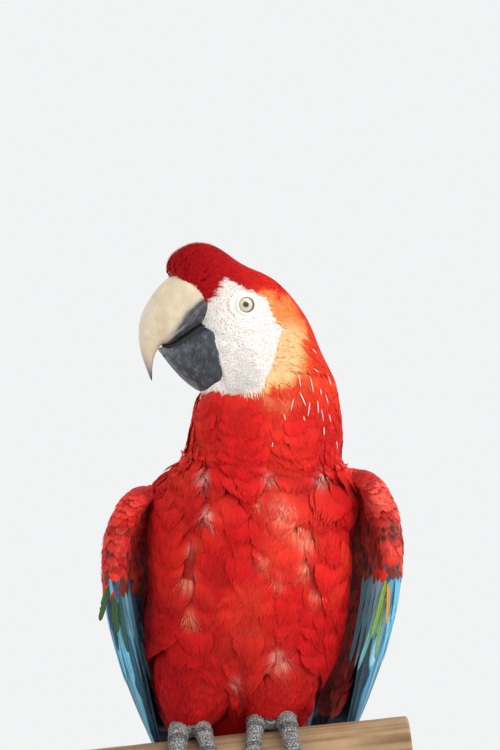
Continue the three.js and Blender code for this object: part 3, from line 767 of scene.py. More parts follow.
def toe_mesh(foot_name, k, rows=104, around=52):
    foot, toe = FEET[foot_name], TOES[k]
    t = np.linspace(-0.12, 1.0, rows)
    ang = np.arange(around) / around * 2 * np.pi
    T, A = np.meshgrid(t, ang, indexing="ij")
    rho = PERCH_R + GAP + toe[1]
    turned = toe[4] * (0.16 + T * toe[0] / rho)
    c = toe_path(foot, toe, T)
    O = N_AX * np.cos(turned)[..., None] - Y_AX * np.sin(turned)[..., None]
    r = toe_radius(toe, np.clip(T, 0, 1))
    # rounded ends, and joints with swellings below them
    endt = np.clip((1 - T) / 0.07, 0, 1)
    r = r * np.sqrt(np.clip(1 - (1 - endt) ** 2 * 0.82, 0, 1))
    joints = 0.05 * np.cos((T * (3 if k != 1 else 2)) * 2 * np.pi)
    under = np.clip(-np.cos(A), 0, 1)
    x, y = T * toe[0], (A - np.pi) * r
    h, tone = scale_relief(x, y, np.cos(A), k + (7 if foot_name == "left" else 0))
    # cross creases at the joints
    crease = sum(np.exp(-((T - j) / 0.012) ** 2) for j in (0.31, 0.345, 0.64, 0.675))
    rr = r * (1 + joints * (1 - under)) + (0.62 * h - 0.25) * (1 - 0.8 * under) - 0.25 * crease * (1 - under)
    squash = 1 + 0.06 * np.abs(np.sin(A))
    P = c + O * (rr * np.cos(A))[..., None] + P_AX * (rr * squash * np.sin(A))[..., None]
    return limb_mesh("toe", P, h * (1 - 0.6 * np.clip(crease, 0, 1)) * (0.85 + 0.3 * tone))


def shank_mesh(foot_name, rows=44, around=72):
    x0, side, spread = FEET[foot_name]
    t = np.linspace(0, 1.25, rows)
    ang = np.arange(around) / around * 2 * np.pi
    T, A = np.meshgrid(t, ang, indexing="ij")
    a, b = on_perch(x0, 0, PERCH_R + GAP + 5), on_perch(x0 * 0.98, -0.2, PERCH_R + 26)
    c = a + (b - a) * T[..., None]
    ax = unit(b - a)
    e1 = unit(P_AX - ax * (P_AX @ ax))
    e2 = np.cross(ax, e1)
    r = lerp(8.6, 7.4, np.clip(T, 0, 1))
    h, tone = scale_relief(T * 21, (A - np.pi) * r, np.zeros_like(T), 11 + side)
    rr = r + 0.55 * h - 0.2
    P = c + e1 * (rr * np.cos(A))[..., None] + e2 * (rr * np.sin(A))[..., None]
    return limb_mesh("shank", P, h * (0.85 + 0.3 * tone))


def pad_mesh(foot_name, rows=56, around=110):
    x0, side, spread = FEET[foot_name]
    c = on_perch(x0, 0, PERCH_R + 6)
    t = np.linspace(0.02, 0.98, rows) * np.pi
    ang = np.arange(around) / around * 2 * np.pi
    T, A = np.meshgrid(t, ang, indexing="ij")
    d = np.stack([np.sin(T) * np.cos(A), np.sin(T) * np.sin(A), np.cos(T)], -1)
    x, y, z = 13 * spread * d[..., 0], 12.5 * d[..., 1], 8 * d[..., 2]
    h, tone = scale_relief(x + 40, y + 30, np.zeros_like(T), 21 + side)
    k = 1 + (0.55 * h - 0.2) / 11 * np.clip(d[..., 2] + 0.6, 0, 1)
    P = c + P_AX * (x * k)[..., None] + Y_AX * (y * k)[..., None] + N_AX * (z * k)[..., None]
    return limb_mesh("pad", P, h * (0.85 + 0.3 * tone))


def thigh_rows(i, rows, around, level):
    """Rings of thigh i of the low field, at a depth under its own surface."""
    _, low, r0, m1, r1, _ = THIGH[3 * i]
    high = THIGH[3 * i + 2][3]
    t = np.linspace(0.02, 1.0, rows)
    ang = np.arange(around) / around * 2 * np.pi
    T, A = np.meshgrid(t, ang, indexing="ij")
    ax = unit(high - low)
    e1 = unit(np.array([1.0, 0, 0]) - ax * ax[0])
    e2 = np.cross(ax, e1)
    r = np.interp(T, [0, 0.37, 0.74, 1], [12, 22.6, 27, 27])
    d = e1 * np.cos(A)[..., None] + e2 * np.sin(A)[..., None]
    P = low + (high - low) * T[..., None] + d * (r + level)[..., None]
    return P, T, A


def wing_core(name, rows=44, around=40):
    t = np.concatenate([np.array([-0.058, -0.05, -0.04, -0.03, -0.02, -0.01]), np.linspace(0.0, 0.56, rows)])
    u = np.arange(around) / around * 2 * np.pi
    U, T = np.meshgrid(np.where(u > np.pi, u - 2 * np.pi, u) * 0.97, t)
    # lower down it draws in from both edges, under the long feathers
    k = lerp(1.0, 0.25, smooth(0.30, 0.54, T))
    s_ = 0.5 + ((1 - np.cos(U)) / 2 - 0.5) * k
    V = np.where(U < 0, -1.0, 1.0) * np.arccos(1 - 2 * s_)
    thin = np.where(k < 0.999, np.abs(np.sin(U)) * k / np.maximum(np.abs(np.sin(V)), 0.02), 1.0)
    P = wing_at(name, V, T, 0.80 * thin, -0.6 * k)
    return limb_mesh("wing", P)


def union(base, parts):
    """Joins closed meshes into one skin."""
    ob = bpy.data.objects.new("_u", base)
    bpy.context.scene.collection.objects.link(ob)
    for m in parts:
        cut = bpy.data.objects.new("_c", m)
        bpy.context.scene.collection.objects.link(cut)
        mod = ob.modifiers.new("u", "BOOLEAN")
        mod.operation, mod.solver, mod.object = "UNION", "MANIFOLD", cut
        dg = bpy.context.evaluated_depsgraph_get()
        new = bpy.data.meshes.new_from_object(ob.evaluated_get(dg))
        ob.modifiers.clear()
        ob.data = new
        bpy.data.objects.remove(cut)
    me = ob.data
    bpy.data.objects.remove(ob)
    return me


BODY_MESH = skin_body()
BODY_MESH.attributes.new("tone", "FLOAT", "POINT").data.foreach_set(
    "value", np.full(len(BODY_MESH.vertices), -1.0, np.float32))
_parts = []
for _i, _name in enumerate(("left", "right")):
    _parts.append(union(shank_mesh(_name), [pad_mesh(_name)] + [toe_mesh(_name, k) for k in (1, 2, 3, 4)]))
    _parts.append(limb_mesh("thigh", thigh_rows(_i, 24, 60, np.full((24, 60), -3.5))[0]))
    _wc = wing_core(_name)
    if "tone" not in _wc.attributes:
        _wc.attributes.new("tone", "FLOAT", "POINT")
    _wc.attributes["tone"].data.foreach_set("value", np.full(len(_wc.vertices), -3.0, np.float32))
    _parts.append(_wc)
SKIN_MESH = union(BODY_MESH, _parts)
tick("skin")


def mesh_arrays(me):
    n = len(me.vertices)
    v = np.zeros(n * 3, np.float32)
    me.vertices.foreach_get("co", v)
    return v.reshape(-1, 3).astype(float)


# nothing of the feet goes into the perch
_v = mesh_arrays(SKIN_MESH)
_ax = _v - (np.array([FEET_X, 0, 0.0]) - N_AX * PERCH_R)
_along = _ax @ P_AX
_r = _ax - _along[:, None] * P_AX
_rl = np.linalg.norm(_r, axis=1)
_near = (_rl < PERCH_R + 0.4) & (np.abs(_along) < 60)
_v[_near] += (_r / np.maximum(_rl, 1e-6)[:, None] * (PERCH_R + 0.4 - _rl)[:, None])[_near]

TONE = np.zeros(len(_v), np.float32)
SKIN_MESH.attributes["tone"].data.foreach_get("value", TONE)

# ------------------------------------------------------------------ colours of the skin
WHITE_SKIN, PINK_SKIN = srgb(240, 235, 228), srgb(226, 196, 188)
UNDER_SKIN = srgb(196, 150, 140)
CRIMSON, RED, DEEP = srgb(182, 8, 18), srgb(214, 20, 22), srgb(150, 10, 16)
ORANGE, PEACH, HOT = srgb(252, 142, 72), srgb(255, 200, 142), srgb(242, 66, 34)
SKY, AZURE, NAVY = srgb(116, 194, 220), srgb(56, 140, 190), srgb(18, 30, 56)
GREEN, YELLOW, OLIVE = srgb(84, 142, 58), srgb(242, 198, 60), srgb(52, 36, 38)


def glow_of(p):
    """How far each place is in the pale orange patch behind the cheek, and how deep."""
    f, l, u = to_head(p)
    t = face_distance(f, u) + 9 * (value_noise(p, 9, 82) - 0.5)
    behind = smooth(4, -8, f) * smooth(12, 2, u) * (np.abs(l) > 6)
    return behind * smooth(30, 15, t) * smooth(-64, -50, u + 5 * (value_noise(p, 7, 83) - 0.5)), t


FOLD_L = ([16, 45, 92, 111, 133, 159, 176], [-44, -46, -43, -40, -32, -31, -30])
FOLD_R = ([16, 45, 80, 100, 116, 158, 176], [46, 45, 40, 34, 34, 42, 43])


def folds(p):
    """Height in mm of the breast's soft clumps and of the flank's long feathers lying over the middle, and painted
    shade in its hollows: between the clumps, along the folds' grooves (more on the left fold) and between the legs.
    """
    x, y, z = p[..., 0], p[..., 1], p[..., 2]
    front = smooth(6, -8, y) * smooth(8, 26, z) * smooth(186, 168, z)
    n = value_noise(p * np.array([1, 1, 0.62]), 17, 141)
    n2 = value_noise(p * np.array([1, 1, 0.6]), 8, 142)
    h = 2.2 * smooth(0.38, 0.68, n) + 0.6 * n2
    h = h * smooth(214, 190, z)
    # painted shade in the hollows between the clumps
    dark = 0.30 * smooth(0.42, 0.25, n)
    for (zs, xs), sg in ((FOLD_L, -1), (FOLD_R, 1)):
        d = (x - np.interp(z, zs, xs) - 2.5 * (value_noise(p, 12, 143) - 0.5)) * sg    # + towards the flank
        h = h + front * (1.7 * smooth(-2.5, 3.0, d) * smooth(26, 6, d) - (1.3 if sg < 0 else 0.4) * np.exp(-((d + 2.2) / 2.6) ** 2))
        # painted shade along each fold's groove, heavier on the left fold, away from the lamp
        dark = dark + front * (0.85 if sg < 0 else 0.35) * np.exp(-((d + 1.6) / 2.4) ** 2) * smooth(0.2, 0.5, value_noise(p, 14, 144))
    # a hollow down the middle between the legs, with painted shade in it
    mid = np.exp(-((x + 7) / 3.4) ** 2) * smooth(60, 36, z) * (y < 0)
    return h - 2.2 * mid, np.clip(dark + 0.8 * mid, 0, 1)


# x, z, size and warmth of the pale down that shows between the breast's feathers
TUFTS = np.array([(-33, 159, 6, 0.1), (9, 158, 5, 0.25), (43, 159, 6, 0.2), (-30, 134, 5, 0.1), (17, 135, 11, 0.8), (-40, 112, 4, 0.4),
                  (33, 117, 8, 0.8), (5, 105, 6, 0.8), (-42, 92, 7, 0.7), (32, 100, 6, 0.8), (16, 92, 5, 0.6), (16, 45, 9, 0.35),
                  (-46, 30, 6, 0.1), (-12, 30, 4, 0.2), (-41, 70, 6, 0.8), (2, 140, 5, 1.0),
                  (26, 124, 8, 0.9), (38, 84, 4, 0.9)], float)


def pale_of(p):
    """Where the feathers' pale bases show on the breast, and how warm they are."""
    x, y, z = p[..., 0], p[..., 1], p[..., 2]
    a = np.zeros(x.shape)
    w = np.zeros(x.shape)
    for tx, tz, size, warm in TUFTS:
        g = np.exp(-(((x - tx) / (0.36 * size + 0.5)) ** 2 + ((z - tz) / (0.5 * size + 0.5)) ** 2) / 2) * (y < 0)
        a = a + g
        w = w + g * warm
    return np.clip(a, 0, 1), w / np.maximum(a, 1e-6)


def cape_z(p):
    """Where the neck's feathers end over the breast: lower on the side the head is turned from."""
    x, y, z = p[..., 0], p[..., 1], p[..., 2]
    zb = np.interp(x, [-50, -24, 6, 38, 52], [178, 172, 163, 152, 156]) + 11 * (value_noise(p, 15, 151) - 0.5)
    return lerp(168.0, zb, smooth(6, -10, y))


def coat_colour(p, r):
    """Base colour of each feather from where it is rooted, over head, neck and trunk; r is its own random number."""
    f, l, u = to_head(p)
    z = p[:, 2]
    n = value_noise(p * np.array([1, 1, 0.7]), 20, 81)
    n2 = value_noise(p, 9, 82)
    c = mix(RED, srgb(232, 48, 30), np.clip(1.9 * (n - 0.36) + 0.5 * (r - 0.5), 0, 1))
    c = mix(c, srgb(180, 10, 16), np.clip(1.5 * (0.44 - n2), 0, 1) * 0.8)
    c = mix(c, srgb(242, 74, 50), 0.18 * np.clip(r * 2.4 - 1.5, 0, 1) * smooth(212, 190, z))
    # the breast turns lighter and more orange down its middle, right of centre: partly its own orange, partly painted
    # light where it faces the lamp
    mid = np.exp(-((p[:, 0] - 14) / 30) ** 2) * smooth(170, 150, z) * smooth(30, 70, z) * smooth(0, -16, p[:, 1])
    c = mix(c, srgb(240, 68, 46), 0.45 * mid * np.clip(2.2 * n - 0.5, 0, 1))
    # painted shade: darker low on the belly, and on the front's left side and across the upper breast, away from the
    # lamp
    c = mix(c, srgb(172, 8, 14), 0.62 * smooth(84, 40, z) + (0.32 * smooth(0, -50, p[:, 0]) + 0.2 * np.exp(-((z - 152) / 15) ** 2)) * smooth(190, 150, z)
            * smooth(0, -12, p[:, 1]))
    c = mix(c, srgb(242, 54, 40), 0.42 * smooth(166, 186, z) * smooth(10, -20, p[:, 1]) * np.clip(0.5 + 0.9 * (n - 0.4), 0, 1))
    # painted shadow in a band just under the edge of the neck's feathers, where they lie over the breast
    over = z - cape_z(p)
    c = mix(c, srgb(150, 8, 16), 0.5 * smooth(-14, -3, over) * smooth(2, -1, over) * smooth(0, -12, p[:, 1]) * smooth(0.35, 0.6, n2))
    # painted shade in the breast's hollows and fold grooves, as folds() gives it
    _, dark = folds(p)
    c = mix(c, srgb(112, 6, 12), 0.6 * dark * smooth(212, 190, z))
    head = smooth(-66, -44, u) * smooth(218, 236, z)
    crown = mix(CRIMSON, srgb(232, 34, 24), smooth(20, -16, f) * 0.9)
    crown = mix(crown, srgb(158, 4, 14), 0.5 * smooth(20, 46, f))
    c = mix(c, crown, head * smooth(-34, -4, u))
    # the glow's border runs out in streaks
    dz = 9 * (value_noise(p * np.array([1, 1, 0.45]), 3.2, 161) - 0.5) + 3 * (r - 0.5)
    g, t = glow_of(p + np.stack([0 * dz, 0 * dz, dz], -1))
    # one ramp from red through hot orange to peach, palest low behind the cheek
    w = g * smooth(34, 4, t) * lerp(0.50, 1.0, smooth(-6, -26, u))
    c = mix(c, HOT, smooth(0.02, 0.26, w))
    c = mix(c, ORANGE, smooth(0.22, 0.50, w))
    c = mix(c, PEACH, smooth(0.46, 0.86, w))
    nape = smooth(-20, -34, f) * smooth(-75, -50, u) * smooth(8, -14, u)
    c = mix(c, HOT, 0.75 * nape * (1 - g))
    # painted shade in the deep fold between breast and wing
    fold = smooth(60, 67, np.abs(p[:, 0] + 1.0)) * smooth(40, 70, z) * smooth(168, 140, z) * smooth(20, -6, p[:, 1])
    c = mix(c, srgb(70, 6, 14), 0.72 * fold)
    back = smooth(28, 50, p[:, 1] - 0.25 * (p[:, 2] - 30)) * smooth(96, 62, z + 14 * (n2 - 0.5))
    return mix(c, mix(SKY, AZURE, 0.6 * np.clip(2 * n - 0.5, 0, 1)), smooth(0.30, 0.62, back + 0.22 * (r - 0.5)))


def skin_colour(p, tone):
    f, l, u = to_head(p)
    b = bare(p)
    n = value_noise(p, 5, 11)
    n2 = value_noise(p, 1.6, 12)
    rho = np.hypot(f - EYE_F, u - EYE_U)
    face = mix(WHITE_SKIN * 0.9, PINK_SKIN, np.clip(0.04 + 0.28 * smooth(0.5, 0.85, n) + 0.1 * (n2 - 0.5), 0, 1))
    face = mix(face, srgb(206, 190, 182), 0.12 * smooth(-30, -55, u) * smooth(0.35, 0.7, n2))
    # painted light: the lower face, turned from the lamp, is made paler
    face = mix(face, srgb(252, 248, 243), 0.75 * smooth(4, -20, u))
    ring = smooth(12, 8.5, rho)
    face = mix(face, srgb(240, 236, 230), 0.75 * ring)
    face = mix(face, srgb(132, 112, 106), 0.85 * smooth(5.45, 5.0, rho) * (np.abs(l) > 10))
    body = coat_colour(p, np.full(len(p), 0.5)) * 0.8
    c = mix(face, body, smooth(-0.5, 3.0, b) * (1 - smooth(22, 28, f) * smooth(0, -5, u) * smooth(-56, -50, u)))
    foot = mix(srgb(30, 29, 31), srgb(138, 136, 135), smooth(0.12, 0.95, tone))
    foot = mix(foot, srgb(182, 178, 174), 0.6 * smooth(0.75, 1.1, tone))
    c = np.where((tone < -2)[:, None], mix(srgb(170, 22, 24), srgb(16, 24, 40), smooth(98, 88, p[:, 2])), c)
    return np.where((tone > -0.5)[:, None] & (p[:, 2] < 40)[:, None], foot, c)


def finish_mesh(me, name, verts_mm, colour, mats, replaces=()):
    me.name = name
    v = world(verts_mm).astype(np.float32)
    me.vertices.foreach_set("co", v.ravel())
    a = me.color_attributes.new("Col", "FLOAT_COLOR", "POINT")
    rgba = np.ones((len(v), 4), np.float32)
    rgba[:, :3] = colour
    a.data.foreach_set("color", rgba.ravel())
    me.polygons.foreach_set("use_smooth", np.ones(len(me.polygons), bool))
    me.materials.clear()
    for m in mats:
        me.materials.append(m)
    me.update()
    ob = bpy.data.objects.new(name, me)
    bpy.context.scene.collection.objects.link(ob)
    return place(ob, replaces)


def place(ob, replaces=()):
    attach(ob, "root")
    if replaces:
        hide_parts(*replaces)
    return ob


# ------------------------------------------------------------------ materials
def material(name, attr=None, colour=None, rough=0.5, spec=0.5, coat=0.0, coat_rough=0.1, sheen=0.0, sheen_tint=None,
             sss=0.0, sss_radius=(1, 0.3, 0.2), metal=0.0, noise=(), bump=(), barbs=None, rough_noise=None, creases=None):
    m = bpy.data.materials.new(name)
    m.use_nodes = True
    nt = m.node_tree
    N, L = nt.nodes, nt.links
    N.clear()
    out = N.new("ShaderNodeOutputMaterial")
    b = N.new("ShaderNodeBsdfPrincipled")
    L.new(b.outputs[0], out.inputs[0])
    b.inputs["Roughness"].default_value = rough
    b.inputs["Specular IOR Level"].default_value = spec
    b.inputs["Coat Weight"].default_value = coat
    b.inputs["Coat Roughness"].default_value = coat_rough
    b.inputs["Sheen Weight"].default_value = sheen
    b.inputs["Sheen Roughness"].default_value = 0.4
    if sheen_tint is not None:
        b.inputs["Sheen Tint"].default_value = (*sheen_tint, 1)
    b.inputs["Metallic"].default_value = metal
    if sss:
        b.inputs["Subsurface Weight"].default_value = sss
        b.inputs["Subsurface Radius"].default_value = sss_radius
        b.inputs["Subsurface Scale"].default_value = 0.002
    tc = N.new("ShaderNodeTexCoord")
    if attr:
        a = N.new("ShaderNodeAttribute")
        a.attribute_name = attr
        col = a.outputs["Color"]
    else:
        c = N.new("ShaderNodeRGB")
        c.outputs[0].default_value = (*colour, 1)
        col = c.outputs[0]

    def math_node(op, x, y=None, z=None):
        n = N.new("ShaderNodeMath")
        n.operation = op
        for i, v in enumerate((x, y, z)):
            if v is None:
                continue
            if isinstance(v, (int, float)):
                n.inputs[i].default_value = v
            else:
                L.new(v, n.inputs[i])
        return n.outputs[0]

    def scaled(col, factor):
        n = N.new("ShaderNodeMix")
        n.data_type = "RGBA"
        n.blend_type = "MULTIPLY"
        n.inputs["Factor"].default_value = 1
        L.new(col, n.inputs["A"])
        cc = N.new("ShaderNodeCombineColor")
        for i in range(3):
            L.new(factor, cc.inputs[i])
        L.new(cc.outputs[0], n.inputs["B"])
        return n.outputs["Result"]
    for scale, lo, hi, detail in noise:
        t = N.new("ShaderNodeTexNoise")
        t.inputs["Scale"].default_value = scale
        t.inputs["Detail"].default_value = detail
        L.new(tc.outputs["Object"], t.inputs["Vector"])
        r = N.new("ShaderNodeMapRange")
        r.inputs["From Min"].default_value = 0.3
        r.inputs["From Max"].default_value = 0.7
        r.inputs["To Min"].default_value = lo
        r.inputs["To Max"].default_value = hi
        L.new(t.outputs["Fac"], r.inputs["Value"])
        col = scaled(col, r.outputs[0])
    height = None
    if barbs:
        # fine slanting lines from the shaft to the edge of each vane, in the vane's own map
        uv = N.new("ShaderNodeUVMap")
        uv.uv_map = "vane"
        sep = N.new("ShaderNodeSeparateXYZ")
        L.new(uv.outputs[0], sep.inputs[0])
        across = math_node("ABSOLUTE", math_node("SUBTRACT", sep.outputs[0], 0.5))
        t = N.new("ShaderNodeTexNoise")
        t.inputs["Scale"].default_value = 9.0
        L.new(uv.outputs[0], t.inputs["Vector"])
        ph = math_node("MULTIPLY", across, barbs["across"])
        ph = math_node("MULTIPLY_ADD", sep.outputs[1], -barbs["along"], ph)
        ph = math_node("MULTIPLY_ADD", t.outputs["Fac"], barbs.get("wobble", 0.5), ph)
        wave = math_node("SINE", math_node("MULTIPLY", ph, 2 * math.pi))
        height = math_node("MULTIPLY", wave, barbs["depth"])
        f = math_node("MULTIPLY_ADD", wave, barbs["tone"], 1.0)
        col = scaled(col, f)
    L.new(col, b.inputs["Base Color"])
    normal = None
    if creases:
        # creases between small cells, only where the mesh says so
        at = N.new("ShaderNodeAttribute")
        at.attribute_name = "crease"
        mp = N.new("ShaderNodeMapping")
        mp.inputs["Scale"].default_value = (1.25, 1.0, 0.7)
        wob = N.new("ShaderNodeTexNoise")
        wob.inputs["Scale"].default_value = 300
        ad = N.new("ShaderNodeMix")
        ad.data_type, ad.blend_type = "RGBA", "LINEAR_LIGHT"
        ad.inputs["Factor"].default_value = 0.0035
        L.new(tc.outputs["Object"], wob.inputs["Vector"])
        L.new(tc.outputs["Object"], ad.inputs["A"])
        L.new(wob.outputs["Color"], ad.inputs["B"])
        L.new(ad.outputs["Result"], mp.inputs["Vector"])
        v = N.new("ShaderNodeTexVoronoi")
        v.feature = "DISTANCE_TO_EDGE"
        v.inputs["Scale"].default_value = creases["scale"]
        L.new(mp.outputs[0], v.inputs["Vector"])
        r = N.new("ShaderNodeMapRange")
        r.inputs["From Min"].default_value, r.inputs["From Max"].default_value = 0.0, 0.16
        r.inputs["To Min"].default_value, r.inputs["To Max"].default_value = 1.0, 0.0
        L.new(v.outputs["Distance"], r.inputs["Value"])
        amount = math_node("MULTIPLY", r.outputs[0], at.outputs["Fac"])
        mx = N.new("ShaderNodeMix")
        mx.data_type = "RGBA"
        L.new(math_node("MULTIPLY", amount, creases["tone"]), mx.inputs["Factor"])
        L.new(col, mx.inputs["A"])
        mx.inputs["B"].default_value = (*creases["colour"], 1)
        L.new(mx.outputs["Result"], b.inputs["Base Color"])
        bn = N.new("ShaderNodeBump")
        bn.invert = True
        bn.inputs["Distance"].default_value = 0.0005
        bn.inputs["Strength"].default_value = 0.6
        L.new(amount, bn.inputs["Height"])
        normal = bn.outputs[0]
    if height is not None:
        bn = N.new("ShaderNodeBump")
        bn.inputs["Distance"].default_value = 0.0003
        bn.inputs["Strength"].default_value = barbs.get("bump", 0.5)
        L.new(height, bn.inputs["Height"])
        normal = bn.outputs[0]
    for kind, scale, strength, dist in bump:
        if kind == "voronoi":
            t = N.new("ShaderNodeTexVoronoi")
            o = t.outputs["Distance"]
        else:
            t = N.new("ShaderNodeTexNoise")
            t.inputs["Detail"].default_value = 4
            o = t.outputs["Fac"]
        t.inputs["Scale"].default_value = scale
        L.new(tc.outputs["Object"], t.inputs["Vector"])
        bn = N.new("ShaderNodeBump")
        bn.inputs["Strength"].default_value = strength
        bn.inputs["Distance"].default_value = dist
        L.new(o, bn.inputs["Height"])
        if normal is not None:
            L.new(normal, bn.inputs["Normal"])
        normal = bn.outputs[0]
    if normal is not None:
        L.new(normal, b.inputs["Normal"])
    if rough_noise:
        t = N.new("ShaderNodeTexNoise")
        t.inputs["Scale"].default_value = rough_noise[0]
        L.new(tc.outputs["Object"], t.inputs["Vector"])
        r = N.new("ShaderNodeMapRange")
        r.inputs["To Min"].default_value, r.inputs["To Max"].default_value = rough_noise[1:]
        L.new(t.outputs["Fac"], r.inputs["Value"])
        L.new(r.outputs[0], b.inputs["Roughness"])
    return m


M_SKIN = material("skin", attr="Col", rough=0.62, spec=0.35, sss=0.12, sss_radius=(1, 0.45, 0.3),
                  creases=dict(scale=400, tone=0.30, colour=srgb(186, 160, 152)),
                  noise=((900, 0.96, 1.04, 3),), bump=(("noise", 700, 0.35, 0.0004), ("voronoi", 1500, 0.25, 0.0002)))
M_FEATHER = material("feather", attr="Col", rough=0.7, spec=0.12, sheen=0.04, sheen_tint=(1, 0.4, 0.3), sss=0.3,
                     sss_radius=(1.0, 0.22, 0.14),
                     barbs=dict(across=17, along=5, depth=1.0, tone=0.08, bump=0.3), noise=((60, 0.92, 1.06, 2),))
M_BARB = material("barb", attr="Col", rough=0.7, spec=0.12, sss=0.3, sss_radius=(1.0, 0.25, 0.16))
M_SHEATH = material("sheath", attr="Col", rough=0.5, spec=0.4)
M_FLIGHT = material("flight", attr="Col", rough=0.5, spec=0.4, sheen=0.05,
                    barbs=dict(across=14, along=110, depth=1.0, tone=0.09, bump=0.5, wobble=0.6),
                    noise=((90, 0.9, 1.08, 3),))
M_BILL = material("bill_horn", attr="Col", rough=0.38, spec=0.5, coat=0.15, coat_rough=0.3, sss=0.15,
                  sss_radius=(1, 0.6, 0.35), noise=((180, 0.94, 1.04, 4),),
                  bump=(("noise", 350, 0.25, 0.0004), ("noise", 1600, 0.15, 0.0002)))
M_BILL_LOW = material("bill_slate", attr="Col", rough=0.45, spec=0.5, noise=((400, 0.8, 1.2, 4),),
                      bump=(("noise", 500, 0.3, 0.0004),))
M_EYE = material("eye", attr="Col", rough=0.25, spec=0.5, coat=1.0, coat_rough=0.02)
M_CLAW = material("claw", attr="Col", rough=0.35, spec=0.5, coat=0.3, coat_rough=0.2, bump=(("noise", 900, 0.2, 0.0003),))
M_WOOD = material("perch_wood", attr="Col", rough=0.7, spec=0.3, noise=((70, 0.85, 1.1, 5),), bump=(("noise", 260, 0.5, 0.0008),))
M_ROD = material("rod", colour=(0.33, 0.34, 0.35), rough=0.32, metal=1.0, bump=(("noise", 1500, 0.05, 0.0001),))
M_BASE = material("base", colour=(0.025, 0.025, 0.028), rough=0.42, spec=0.5, bump=(("noise", 2500, 0.12, 0.0001),))

_f, _l, _u = to_head(_v)
_cr = SKIN_MESH.attributes.new("crease", "FLOAT", "POINT")
_cr.data.foreach_set("value", (smooth(-0.5, -2.5, bare(_v)) * smooth(11.5, 17, np.hypot(_f - EYE_F, _u - EYE_U))
                               * (0.25 + 0.75 * smooth(-6, -26, _u))).astype(np.float32))
SKIN_OB = finish_mesh(SKIN_MESH, "skin", _v, skin_colour(_v, TONE), [M_SKIN],
                      ["head", "neck", "trunk"] + ["thigh_" + n for n in FEET] + ["foot_" + n for n in FEET]
                      + ["toe_%s_%d" % (n, k) for n in FEET for k in (1, 2, 3, 4)])


# ------------------------------------------------------------------ bill
def bill_rows(upper, lower, half, swell=0.0, rows=110, around=120, round_=2.3, trough=None, relief=None):
    t = np.linspace(0, 1, rows)
    C, B, w = along(np.array(upper, float), t), along(np.array(lower, float), t), along(np.array(half, float), t) + swell
    mid, ln = (C + B) / 2, np.linalg.norm(C - B, axis=1) / 2
    d = (C - B) / (2 * ln)[:, None]
    a = np.arange(around) / around * 2 * np.pi
    ca, sa = np.cos(a), np.sin(a)
    h = np.sign(ca) * np.abs(ca) ** (2 / round_) * (ln + swell)[:, None]
    s = np.sign(sa) * np.abs(sa) ** (2 / round_) * w[:, None]
    if trough is not None:
        h = h - np.where(ca > 0, 1, 0) * along(np.array(trough, float), t)[:, None] * np.maximum(
            0, 1 - (s / w[:, None]) ** 2) ** 0.7
    f = mid[:, :1] + d[:, :1] * h
    u = mid[:, 1:] + d[:, 1:] * h
    P = in_head(f, s, u)
    if relief is not None:
        T, A = np.meshgrid(t, a, indexing="ij")
        du, dt = np.gradient(P, axis=1), np.gradient(P, axis=0)
        n = unit(np.cross(du, dt))
        c = in_head(mid[:, 0], np.zeros(rows), mid[:, 1])[:, None]
        n = n * np.sign(((P - c) * n).sum(-1, keepdims=True))
        P = P + n * relief(T, A, f, s, u)[..., None]
    return P



def up_relief(T, A, f, s, u):
    n = value_noise(np.stack([f * 0.35, s * 0.2, u * 0.35], -1), 1.0, 31) - 0.5
    lines = np.sin((T + 0.012 * np.sin(4 * A) + 0.02 * n) * 2 * np.pi * 22)
    edge = np.exp(-((np.cos(A) + 0.93) / 0.10) ** 2)  # a worn lip along the cutting edge
    return 0.09 * n + 0.035 * lines * smooth(0.1, 0.4, T) - 0.3 * edge * smooth(0.25, 0.5, T)


def lo_relief(T, A, f, s, u):
    n = value_noise(np.stack([f, s, u], -1), 2.6, 33) - 0.5
    lines = np.sin((T * 26 + 0.4 * np.sin(3 * A) + n * 1.5) * 2 * np.pi)
    return 0.16 * n + 0.04 * lines


def closed_object(name, rows, start=None, end=None):
    v, faces = shell(rows, start, end)
    me = bpy.data.meshes.new(name)
    me.from_pydata([tuple(x) for x in v], [], faces)
    bm = bmesh.new()
    bm.from_mesh(me)
    bmesh.ops.recalc_face_normals(bm, faces=bm.faces[:])
    bm.to_mesh(me)
    bm.free()
    return me


def upper_colour(p):
    f, l, u = to_head(p)
    n = value_noise(p, 4, 41) - 0.5
    n2 = value_noise(p * np.array([1, 1, 0.4]), 1.4, 42) - 0.5
    horn = mix(srgb(214, 198, 172), srgb(200, 180, 150), np.clip(0.5 + 0.9 * n + n2 * 0.3, 0, 1))
    horn = mix(horn, srgb(226, 214, 194), 0.6 * smooth(52, 64, f + 0.2 * u))
    fb = np.interp(-u, [-2, 0, 7.8, 18.4, 31, 36], [26.5, 29.5, 37.7, 43.6, 50.5, 52.5])
    q3 = value_noise(np.stack([(f - fb) * 0.55, u * 0.5 + f * 0.5, l * 0.4], -1), 1.5, 46) - 0.5
    wedge = smooth(2.2, -1.6, f - fb + 2.2 * n + 2.6 * q3)
    dark = mix(srgb(44, 44, 50), srgb(92, 92, 96), np.clip(0.35 + 1.2 * n2 + n, 0, 1))
    dark = mix(dark, srgb(150, 148, 148), np.clip(2.6 * q3 - 0.2, 0, 1) * smooth(-9, -2, f - fb))
    c = mix(horn, dark, wedge * (u < 4))
    c = mix(c, srgb(160, 154, 148), 0.55 * np.exp(-((f - fb - 1.2) / 1.8) ** 2) * (u < 2))
    tip = smooth(-31, -52, u + 2.5 * n)
    c = mix(c, srgb(112, 116, 122), 0.75 * tip)
    return mix(c, srgb(52, 54, 60), smooth(-42, -53, u + 2 * n))


